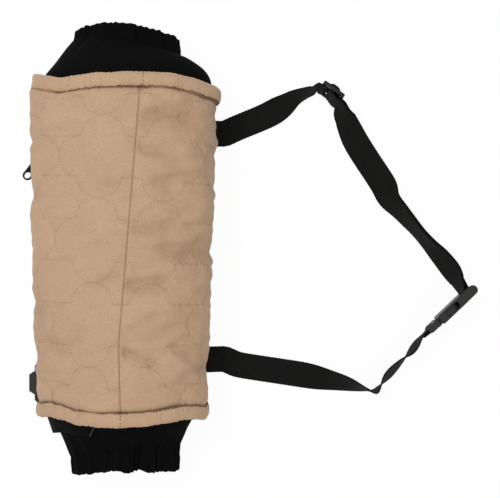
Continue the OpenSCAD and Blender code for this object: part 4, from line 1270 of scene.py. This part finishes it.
SEWN_PROUD = 1.7 * MM
ANCHOR_Y = {"upper_anchor": 111.5, "lower_anchor": -106.5}
ANCHOR_BASE = (308, 314)
ANCHOR_SLOPE = ((-12, 8), (-6, 6.8), (0, 5.1), (3, 4.6))
HINGE_X = 88
LAYER_STEP = 1.15
BUCKLE_AT = np.array([324.2, -43.7, 17.28])
BUCKLE_HEADING = math.radians(223.5)
BUCKLE_LEAN = math.radians(-7.5)
PLUG_BAR_X = 47.5
PLUG_LAYERS = 0.7
BAR_WRAP = 3.1
LOOP_TURN = math.radians(30) - BUCKLE_HEADING
QUARTER = np.radians(np.arange(0, 91, 22.5))
ADJUSTER_AT = np.array([195.5, 148.5, 15.77])
ADJUSTER_HEADING = math.radians(-36)
ADJUSTER_LEAN = math.radians(10)
ADJUSTER_WRAP, ADJUSTER_SLACK = 2.4, 0.9
UNDER = -2.7
OVER = 4.3
# Webbing in the adjuster, along it and out of its face: from outside up to the middle bar
THREADING = np.array(
    [(14, UNDER), (9.8, UNDER), (7.5, -0.6), (5.3, 0.6 * OVER), (2.6, 0.98 * OVER)]
)
# Returning layer as it leaves the adjuster: along it, and up from where the layer lies
LEAVING = ((4.4, 0.7), (8.5, 0), (14, 0))
# Webbing on its way to the plug's bar, along the buckle and out of its face
APPROACH = np.array([(PLUG_BAR_X + 10, -0.4), (PLUG_BAR_X + 3.4, -0.36 * BAR_WRAP)])
# Angles of the webbing round the adjuster's middle bar, and round the plug's bar
ADJUSTER_TURNS, PLUG_TURNS = np.radians(np.arange(20, 261, 40)), -np.radians(np.arange(90, 271, 30))
BAND_PITCH = 1.5
FACE_POINTS, BEND_POINTS = 13, 7
WEFT_SWELL, WEFT_LENGTH = 0.015, 2.8 * MM
ROUTE_PIECES, ANCHOR_PIECES = 4, 5

# Routes in millimetres: x, y, z and the roll in degrees, 0 lying flat and 90 standing on edge
SINGLE_ROUTE = (
    (88.6, 111.5, 5, 0), (92, 111.5, 4.4, 0), (95, 112.4, 3.8, 0), (99, 114.4, 3, 0),
    (104, 116.8, 2.3, 0), (112, 120.3, 1.4, 0), (126, 126, 1.4, 0), (139, 131.8, 3.4, 9),
    (150, 138.2, 8.8, 36), (160, 144.8, 12.6, 60), (170, 149, 14.6, 73), (178, 151.5, 15.6, 79),
)
DOUBLE_ROUTE = (
    (208, 128.5, 12.4, 56), (218.5, 106, 8, 26), (230, 88, 4.6, 8), (240, 73, 4.4, 6),
    (247, 61, 7, 22), (252.5, 47, 11.6, 49), (262, 36, 13.2, 63), (271, 25.5, 13.8, 70),
    (279, 16.3, 14, 75), (289, 5, 13.9, 72), (300, -7, 13, 61), (310.5, -20.5, 13.2, 58),
    (316.8, -31.5, 15.4, 74),
)
SHORT_ROUTE = (
    (88.6, -106.5, 5, 0), (92, -106.5, 4.4, 0), (95, -107.3, 3.8, 0), (99, -109.2, 3, 0),
    (104, -111.4, 2.3, 0), (111, -113.2, 1.4, 0), (128, -115.9, 1.4, 0), (148, -118.9, 1.4, 0),
    (170, -122.3, 2, 2), (193, -126, 8, 32), (212, -129.8, 11.4, 53), (227, -134.2, 13.6, 75),
    (236, -136.6, 14, 88), (240.5, -134, 14, 88), (250, -121, 14, 64), (263, -107, 14.2, 72),
    (272, -97.5, 15.4, 92), (277.5, -90, 16.4, 92),
)


def smooth(points, pieces):
    """Catmull-Rom curve through the rows of points, in that many pieces between neighbours."""
    p = np.asarray(points, float)
    before = np.vstack([p[:1], p[:-2]])
    after = np.vstack([p[2:], p[-1:]])
    a, b, c, d = (q[:, None, :] for q in (before, p[:-1], p[1:], after))
    u = (np.arange(pieces) / pieces)[None, :, None]
    square, cube = 2 * a - 5 * b + 4 * c - d, 3 * b - a - 3 * c + d
    curve = b + 0.5 * ((c - a) * u + square * u**2 + cube * u**3)
    return np.vstack([curve.reshape(-1, p.shape[1]), p[-1:]])


def laid(route, lift=0.0):
    """Path and across vectors of a band along a smoothed route, lifted off it along its face."""
    route = smooth(route, ROUTE_PIECES)
    heading = unit(np.gradient(route[:, :2], axis=0))
    left = np.stack([-heading[:, 1], heading[:, 0], 0 * heading[:, 0]], axis=1)
    roll = np.radians(route[:, 3:4])
    rise = np.array([[0.0, 0.0, 1.0]])
    across = np.cos(roll) * left + np.sin(roll) * rise
    face = np.sin(roll) * left - np.cos(roll) * rise
    return route[:, :3] + lift * face, across


def band_profile(width, thick):
    """Closed outline of webbing: flat faces and half-round selvedges, as (across, up) pairs."""
    r = thick / 2
    flat = np.linspace(-1, 1, FACE_POINTS) * (width / 2 - r)
    bend = np.radians(np.linspace(-90, 90, BEND_POINTS))[1:-1]
    right = np.stack([width / 2 - r + r * np.cos(bend), r * np.sin(bend)], axis=1)
    lower = np.stack([flat, 0 * flat - r], axis=1)
    return np.concatenate([lower, right, -lower, -right])


def add_band(name, path_mm, across, width=None, thick=None, material=None):
    """Band swept along a path in millimetres, its ends closed on its middle line."""
    w = webbing()
    path = spaced_rows(np.hstack([path_mm, across]), BAND_PITCH)
    centre, side = path[:, :3] * MM, unit(path[:, 3:])
    along = unit(np.gradient(centre, axis=0))
    up = unit(np.cross(along, side))
    side = unit(np.cross(up, along))
    outline = band_profile(width or w.width, thick or w.thick)
    run = run_along(centre)
    weft = 1 + WEFT_SWELL * np.sin(TURN * run / WEFT_LENGTH)
    rings = (
        centre[:, None]
        + side[:, None] * (outline[None, :, :1] * weft[:, None, None])
        + up[:, None] * outline[None, :, 1:]
    )
    caps = [centre[k] + side[k] * outline[:, :1] for k in (0, -1)]
    grid = np.concatenate([caps[:1], rings, caps[1:]])
    v = np.concatenate([run[:1], run, run[-1:]])
    u = run_along(np.vstack([outline, outline[:1]]))
    uv = np.stack(np.meshgrid(u, v), axis=-1)
    return add_grid(name, grid, material or strap_weave(), close_cols=True, uv=uv, weld=True)


def spaced_rows(rows, pitch):
    """Rows of a path about a pitch apart, measured on their first three numbers."""
    run = run_along(rows[:, :3])
    return rows_at(rows, run, np.linspace(0, run[-1], max(2, int(run[-1] / pitch) + 1)))


def sewn_places(degrees, y):
    """Places (x, z) in millimetres just outside the body, at section angles in degrees."""
    return [(x, z) for x, _, z in section(np.radians(degrees), y * MM, -SEWN_PROUD) / MM]


def add_cross_band(name, y, places, pieces):
    """Band whose width runs along y, on a smooth path through places (x, z)."""
    path = smooth([(x, y, z) for x, z in places], pieces)
    return add_band(name, path, np.tile([0.0, 1.0, 0.0], (len(path), 1)))


def finish_webbing(piece, *nodes):
    """The CAD nodes that the piece stands for are hidden. piece itself is not used."""
    if nodes:
        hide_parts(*nodes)


def on_hardware(at, heading, lean, pairs):
    """Path and across vectors on leaning hardware, from pairs along it and out of its face."""
    c, n = math.cos(heading), math.sin(heading)
    left, rise = np.array([-n, c, 0]), np.array([0, 0, 1])
    across = math.sin(lean) * left + math.cos(lean) * rise
    face = math.cos(lean) * left - math.sin(lean) * rise
    pairs = np.array(pairs)
    path = at + pairs[:, :1] * [c, n, 0] + pairs[:, 1:] * face
    return path, np.tile(across, (len(pairs), 1))


def threaded(pairs):
    """Path and across vectors in the adjuster."""
    return on_hardware(ADJUSTER_AT, ADJUSTER_HEADING, ADJUSTER_LEAN, pairs)


def on_buckle(pairs):
    """Path and across vectors on the buckle."""
    return on_hardware(BUCKLE_AT, BUCKLE_HEADING, BUCKLE_LEAN, pairs)


def round_bar(x, turns):
    """Pairs round a bar of the buckle at x, at those angles."""
    return np.stack([x + BAR_WRAP * np.cos(turns), BAR_WRAP * np.sin(turns)], axis=1)


def joined(*stretches):
    """Stretches (path, across) joined and smoothed into one."""
    rows = np.vstack([np.hstack(stretch) for stretch in stretches])
    return np.hsplit(smooth(rows, ROUTE_PIECES), [3])


class MUFF_OT_straps(Operator):
    """Waist strap: anchors, single and doubled webbing, and the webbing to the buckle's plug"""

    bl_idname = "muff.straps"
    bl_label = "Straps"

    def execute(self, context):
        for node, y in ANCHOR_Y.items():
            self.anchor(node, y)
        self.long_strap()
        self.strap_return()
        self.short_strap()
        return {"FINISHED"}

    def anchor(self, node, y):
        """Webbing sewn to the lower right corner of the body, sloping down to the table."""
        slope = [(HINGE_X + ahead, z) for ahead, z in ANCHOR_SLOPE]
        places = sewn_places(ANCHOR_BASE, y) + slope
        piece = add_cross_band(node + "_webbing", y, places, ANCHOR_PIECES)
        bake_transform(piece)
        finish_webbing(piece, node)

    def long_strap(self):
        """Single webbing to the adjuster's middle bar, then the outer layer on to the buckle."""
        before = threaded(THREADING * [-1, 1])
        top = threaded([(0, OVER)])
        after = threaded(THREADING[::-1])
        piece = add_band("strap_single", *joined(laid(SINGLE_ROUTE), before, top))
        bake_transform(piece)
        finish_webbing(piece)
        loop = on_buckle(round_bar(0, LOOP_TURN - QUARTER))
        double = laid(DOUBLE_ROUTE, LAYER_STEP)
        piece = add_band("strap_outer", *joined(top, after, double, loop))
        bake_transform(piece)
        finish_webbing(piece, "long_strap")

    def strap_return(self):
        """Inner layer from the buckle back to the adjuster, sewn round its middle bar."""
        c, n = np.cos(ADJUSTER_TURNS), np.sin(ADJUSTER_TURNS)
        wrap = ADJUSTER_WRAP - ADJUSTER_SLACK * np.minimum(c, 0)
        sewn = threaded(np.stack([wrap * c, wrap * n], axis=1))
        low = UNDER - 2 * LAYER_STEP
        leaving = threaded([(along, low + up) for along, up in LEAVING])
        loop = on_buckle(round_bar(0, LOOP_TURN - math.pi + QUARTER))
        double = laid(DOUBLE_ROUTE, -LAYER_STEP)
        piece = add_band("strap_inner", *joined(sewn, leaving, double, loop))
        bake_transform(piece)
        finish_webbing(piece, "strap_return")

    def short_strap(self):
        """Webbing from the lower anchor to the plug, sewn back on itself round the plug's bar."""
        wrapped = round_bar(PLUG_BAR_X, PLUG_TURNS)
        sewn = (APPROACH * [1, -1])[::-1] + [0, PLUG_LAYERS]
        tail = on_buckle(np.vstack([APPROACH, wrapped, sewn]))
        piece = add_band("strap_short", *joined(laid(SHORT_ROUTE), tail))
        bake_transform(piece)
        finish_webbing(piece, "short_strap")


# Tabs

# Hinge bar of the ladder lock in millimetres: y, x, z and the radius of the webbing's path round it
LADDER_BAR = (-129, -71.5, 5.6, 2.9)
LADDER_SEWN = (238, 230)
# Webbing round the hinge bar: angles in degrees, and the places just before and just after it
LADDER_TURNS = np.arange(270, 89, -30)
LADDER_LEAD, LADDER_LEAD_UP, LADDER_TAIL = 5, 0.5, 2.4
# Tape on the lower cuff: the section angles of its ends and the slant of its cut, in degrees
HEM_TAPE_FROM, HEM_TAPE_SLANT, HEM_TAPE_TO = 103, 7, 172
HEM_TAPE_COLUMNS, HEM_TAPE_ROWS = 90, 14
# The last of these is the half width of a painted highlight along the tape's cut end
HEM_TAPE_PROUD, HEM_TAPE_THICK, HEM_TAPE_HIGHLIGHT = 1.5 * MM, 1.0 * MM, 0.7 * MM
# Its width where it starts and what it gains by its end, its width in the weave, and how much it
# follows the cuff's folds
HEM_TAPE_WIDTH, HEM_TAPE_GAIN, HEM_TAPE_WEAVE = 13, 4, 14
HEM_TAPE_FOLLOW = 0.6


class MUFF_OT_tabs(Operator):
    """Webbing tab of the ladder lock and the tape sewn into the lower hem"""

    bl_idname = "muff.tabs"
    bl_label = "Tabs"

    def execute(self, context):
        self.ladder_tab()
        self.hem_tape()
        return {"FINISHED"}

    def ladder_tab(self):
        """Webbing from the back of the body round the ladder lock's hinge bar."""
        y, x, z, r = LADDER_BAR
        loop = [(x + r * math.cos(a), z + r * math.sin(a)) for a in np.radians(LADDER_TURNS)]
        before, after = (x + LADDER_LEAD, z - r + LADDER_LEAD_UP), (x + LADDER_TAIL, z + r)
        places = [*sewn_places(LADDER_SEWN, y), before, *loop, after]
        piece = add_cross_band("ladder_tab", y, places, ROUTE_PIECES)
        seat(piece, "muff", "black_webbing", "ladder_lock_tab")

    def hem_tape(self):
        """Tape over the shoulder of the lower cuff, cut at a slant where it starts."""
        b = body()
        run, root_in = cuff_run()
        uu, vv = np.meshgrid(*(np.linspace(0, 1, k) for k in (HEM_TAPE_COLUMNS, HEM_TAPE_ROWS)))
        start = np.radians(HEM_TAPE_FROM + HEM_TAPE_SLANT * vv)
        tt = start + (np.radians(HEM_TAPE_TO) - start) * uu
        w = (root_in - ROOT_SHORT + (HEM_TAPE_WIDTH + HEM_TAPE_GAIN * uu) * MM * vv) / run
        on_cuff = cuff_point(-1, tt, w, 0 * tt - HEM_TAPE_PROUD)
        y = -(b.body_length / 2 - root_in + run * w)
        plain = section(tt, y, cuff_root() - HEM_TAPE_PROUD)
        grid = on_cuff * HEM_TAPE_FOLLOW + plain * (1 - HEM_TAPE_FOLLOW)
        woven = woven_material(
            "tape_weave", colours().fleece, weft=0.9 * MM, warp=0.8 * MM, bump=0.1 * MM,
            tones=(0.8, 1.2), rough=0.7, specular=0.05, shade="painted_highlight", deep=colours().painted_tape_highlight,
        )
        uv = np.stack([vv * HEM_TAPE_WEAVE * MM, tt * b.half_width], axis=-1)
        # Painted highlight along the cut end, led to a pale grey
        painted_highlight = hump(uu * (tt[:, -1:] - tt[:, :1]) * b.half_width, HEM_TAPE_HIGHLIGHT)
        piece = add_grid("hem_tape", grid, woven, uv=uv, values={"painted_highlight": painted_highlight})
        thicken(piece, HEM_TAPE_THICK)
        seat(piece, "muff", "black_webbing", "hem_tape_tab")


# Hardware

MERGE_WITHIN = 1e-6
FLAT_WITHIN, SHARP_FROM = math.radians(4), math.radians(32)
EDGE_SEGMENTS = 3
# Moulded pieces: node, body and rounding of its edges in millimetres
PLASTIC_PIECES = (
    ("tri_glide", "adjuster", 0.5),
    ("buckle_socket", "strap", 0.7),
    ("buckle_plug", "plug", 0.5),
    ("prong_upper", "prong_a", 0.4),
    ("prong_lower", "prong_b", 0.4),
    ("ladder_lock", "ladder", 0.6),
)
TEETH_PIECES = (
    ("zip_teeth_left", "muff", 0.12),
    ("zip_teeth_right", "muff", 0.12),
    ("zip_stops", "muff", 0.12),
)
ENAMEL_PIECES = (("zip_slider", "slider", 0.25), ("zip_puller", "puller", 0.4))
ZIP_TAPE_AT, ZIP_TAPE_WIDTH, ZIP_TAPE_THICK = 3.5 * MM, 5 * MM, 0.6 * MM


def moulded_copy(node, riding_body, slot_name, material, edge):
    """Copy of a rigid node, merged and with its edges rounded over, standing for the node."""
    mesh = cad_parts[node].data.copy()
    mesh.name = node
    bm = bmesh.new()
    bm.from_mesh(mesh)
    bmesh.ops.remove_doubles(bm, verts=bm.verts, dist=MERGE_WITHIN)
    bmesh.ops.dissolve_limit(bm, angle_limit=FLAT_WITHIN, verts=bm.verts, edges=bm.edges)
    bm.to_mesh(mesh)
    bm.free()
    mesh.materials.clear()
    mesh.materials.append(material)
    mesh.polygons.foreach_set("use_smooth", np.ones(len(mesh.polygons), bool))
    piece = bpy.data.objects.new(node + "_part", mesh)
    bpy.context.scene.collection.objects.link(piece)
    bevel = piece.modifiers.new("edges", "BEVEL")
    bevel.width = edge
    bevel.segments = EDGE_SEGMENTS
    bevel.limit_method = "ANGLE"
    bevel.angle_limit = SHARP_FROM
    bevel.use_clamp_overlap = True
    piece.modifiers.new("shading", "WEIGHTED_NORMAL").keep_sharp = True
    return seat(piece, riding_body, slot_name, node)


def moulded_copies(pieces, slot_name, material):
    """Copies of rigid nodes that share a finish."""
    for node, riding_body, edge in pieces:
        moulded_copy(node, riding_body, slot_name, material, edge * MM)


class MUFF_OT_hardware(Operator):
    """Buckle, prongs, strap adjuster and ladder lock"""

    bl_idname = "muff.hardware"
    bl_label = "Hardware"

    def execute(self, context):
        moulded_copies(PLASTIC_PIECES, "black_plastic", black_plastic())
        return {"FINISHED"}


class MUFF_OT_zip(Operator):
    """Zip tapes, teeth, stops, slider and puller"""

    bl_idname = "muff.zip"
    bl_label = "Zip"

    def execute(self, context):
        moulded_copies(TEETH_PIECES, "zip_plastic", teeth_plastic())
        moulded_copies(ENAMEL_PIECES, "painted_zip", black_enamel())
        for side, node in ((1, "zip_tape_left"), (-1, "zip_tape_right")):
            self.tape(side, node)
        return {"FINISHED"}

    def tape(self, side, node):
        """Woven tape: a thin band beside the teeth, in the zip's own frame."""
        ends = section(ZIP_T, ZIP_MID_Y + np.array([-1, 1]) * ZIP_LENGTH / 2, ZIP_DEPTH)
        run = unit(ends[1] - ends[0])
        out = np.array([math.sin(ZIP_TILT), 0, math.cos(ZIP_TILT)])
        out = unit(out - run * (out @ run))
        across = np.cross(run, out)
        path = (ends + side * ZIP_TAPE_AT * across) / MM
        woven = woven_material(
            "zip_tape_weave", colours().zip_tape, weft=0.9 * MM, warp=0.9 * MM, bump=0.08 * MM,
            tones=(0.85, 1.15), rough=0.85,
        )
        sides = np.tile(across, (2, 1))
        piece = add_band(node + "_woven", path, sides, ZIP_TAPE_WIDTH, ZIP_TAPE_THICK, woven)
        seat(piece, "muff", "zip_tape", node)


# Stage

FLOOR_REACH, FLOOR_DROP, FLOOR_GLOW = 6, 0.3 * MM, 0.95
SENSOR_MM = 36
LAMP_AIM = (0.1, 0.0, 0.03)
# Lamps: name, place, size, part of the key light's power, and tint
LAMPS = (
    ("key", (-0.45, 0.35, 1.35), 0.8, 1.0, (1.0, 1.0, 1.0)),
    ("fill", (0.9, -0.7, 1.2), 1.4, 0.5, (1.0, 0.95, 0.88)),
)


def mix_shaders(tree, factor, first, second, output):
    """Two shaders mixed by a factor, led to a new output node."""
    mix = tree.nodes.new("ShaderNodeMixShader")
    for socket, given in zip(mix.inputs, (factor, first.outputs[0], second.outputs[0])):
        tree.links.new(given, socket)
    tree.links.new(mix.outputs[0], tree.nodes.new(output).inputs[0])


class MUFF_OT_stage(Operator):
    """Pale floor, soft studio light and the camera over the table"""

    bl_idname = "muff.stage"
    bl_label = "Stage"

    def execute(self, context):
        stage = context.scene.muff_stage
        context.scene.view_settings.view_transform = "Standard"
        self.floor(stage)
        self.world(stage)
        self.lamps(stage)
        self.camera(stage)
        return {"FINISHED"}

    def pale_rays(self, tree):
        """1 for rays that should see the plain background: from the camera, gloss or glass."""
        rays = tree.nodes.new("ShaderNodeLightPath").outputs
        seen = add_math(tree, "MAXIMUM", rays["Is Camera Ray"], rays["Is Glossy Ray"])
        return add_math(tree, "MAXIMUM", seen, rays["Is Transmission Ray"])

    def floor(self, stage):
        """Large plane just under the object, nearly plain white, so that shadows stay faint."""
        material = bpy.data.materials.new("pale_floor")
        material.use_nodes = True
        tree = material.node_tree
        nodes, _ = node_tree(tree)
        diffuse = nodes.new("ShaderNodeBsdfDiffuse")
        diffuse.inputs["Color"].default_value = (*stage.floor_colour, 1)
        glow = nodes.new("ShaderNodeEmission")
        seen = add_math(tree, "MULTIPLY", self.pale_rays(tree), FLOOR_GLOW)
        mix_shaders(tree, seen, diffuse, glow, "ShaderNodeOutputMaterial")
        reach = np.linspace(-FLOOR_REACH, FLOOR_REACH, 3)
        x, y = np.meshgrid(reach, reach)
        add_grid("floor", np.stack([x, y, 0 * x - FLOOR_DROP], axis=-1), material)

    def world(self, stage):
        """Even light all round, and plain white where the camera looks past the floor."""
        world = bpy.data.worlds.new("studio")
        bpy.context.scene.world = world
        world.use_nodes = True
        nodes, _ = node_tree(world.node_tree)
        light, plain = (nodes.new("ShaderNodeBackground") for _ in range(2))
        for background in (light, plain):
            background.inputs["Color"].default_value = (1, 1, 1, 1)
        light.inputs["Strength"].default_value = stage.sky
        seen = nodes.new("ShaderNodeLightPath").outputs["Is Camera Ray"]
        mix_shaders(world.node_tree, seen, light, plain, "ShaderNodeOutputWorld")

    def lamps(self, stage):
        """Square lamps that face the middle of the object."""
        for name, place, size, part, tint in LAMPS:
            lamp = bpy.data.lights.new(name, "AREA")
            lamp.color = tint
            lamp.size = size
            lamp.energy = part * stage.key_watts
            holder = bpy.data.objects.new(name, lamp)
            bpy.context.scene.collection.objects.link(holder)
            aim = np.subtract(LAMP_AIM, place)
            tilt = math.acos(-aim[2] / np.linalg.norm(aim))
            holder.location = place
            holder.rotation_euler = (tilt, 0, math.atan2(aim[1], aim[0]) - math.pi / 2)

    def camera(self, stage):
        """Camera that looks straight down."""
        camera = bpy.data.cameras.new("camera")
        camera.lens = stage.focal_mm
        camera.sensor_width = SENSOR_MM
        holder = bpy.data.objects.new("camera", camera)
        holder.location = (stage.camera_x, 0, stage.camera_height)
        bpy.context.scene.collection.objects.link(holder)
        bpy.context.scene.camera = holder


class MUFF_PT_panel(Panel):
    """Buttons for the pieces, and the sizes and colours that a user may change"""

    bl_label = "Hand Warmer Muff"
    bl_idname = "MUFF_PT_panel"
    bl_space_type = "VIEW_3D"
    bl_region_type = "UI"
    bl_category = "Muff"

    def draw(self, context):
        for operator in OPERATORS:
            self.layout.operator(operator.bl_idname)
        for group in GROUPS:
            settings = getattr(context.scene, group)
            box = self.layout.box()
            for key in settings.__annotations__:
                box.prop(settings, key)


OPERATORS = (
    MUFF_OT_stage,
    MUFF_OT_straps,
    MUFF_OT_shell,
    MUFF_OT_hems,
    MUFF_OT_cuffs,
    MUFF_OT_padding,
    MUFF_OT_tabs,
    MUFF_OT_hardware,
    MUFF_OT_zip,
)
GROUPS = {
    "muff_body": MuffBody,
    "muff_webbing": MuffWebbing,
    "muff_colours": MuffColours,
    "muff_stage": MuffStage,
}


def register():
    for item in (*GROUPS.values(), *OPERATORS, MUFF_PT_panel):
        bpy.utils.register_class(item)
    for name, group in GROUPS.items():
        setattr(bpy.types.Scene, name, PointerProperty(type=group))


def unregister():
    for name in GROUPS:
        delattr(bpy.types.Scene, name)
    for item in reversed((*GROUPS.values(), *OPERATORS, MUFF_PT_panel)):
        bpy.utils.unregister_class(item)


def main():
    register()
    for operator in OPERATORS:
        family, name = operator.bl_idname.split(".")
        getattr(getattr(bpy.ops, family), name)()


if __name__ == "__main__":
    main()
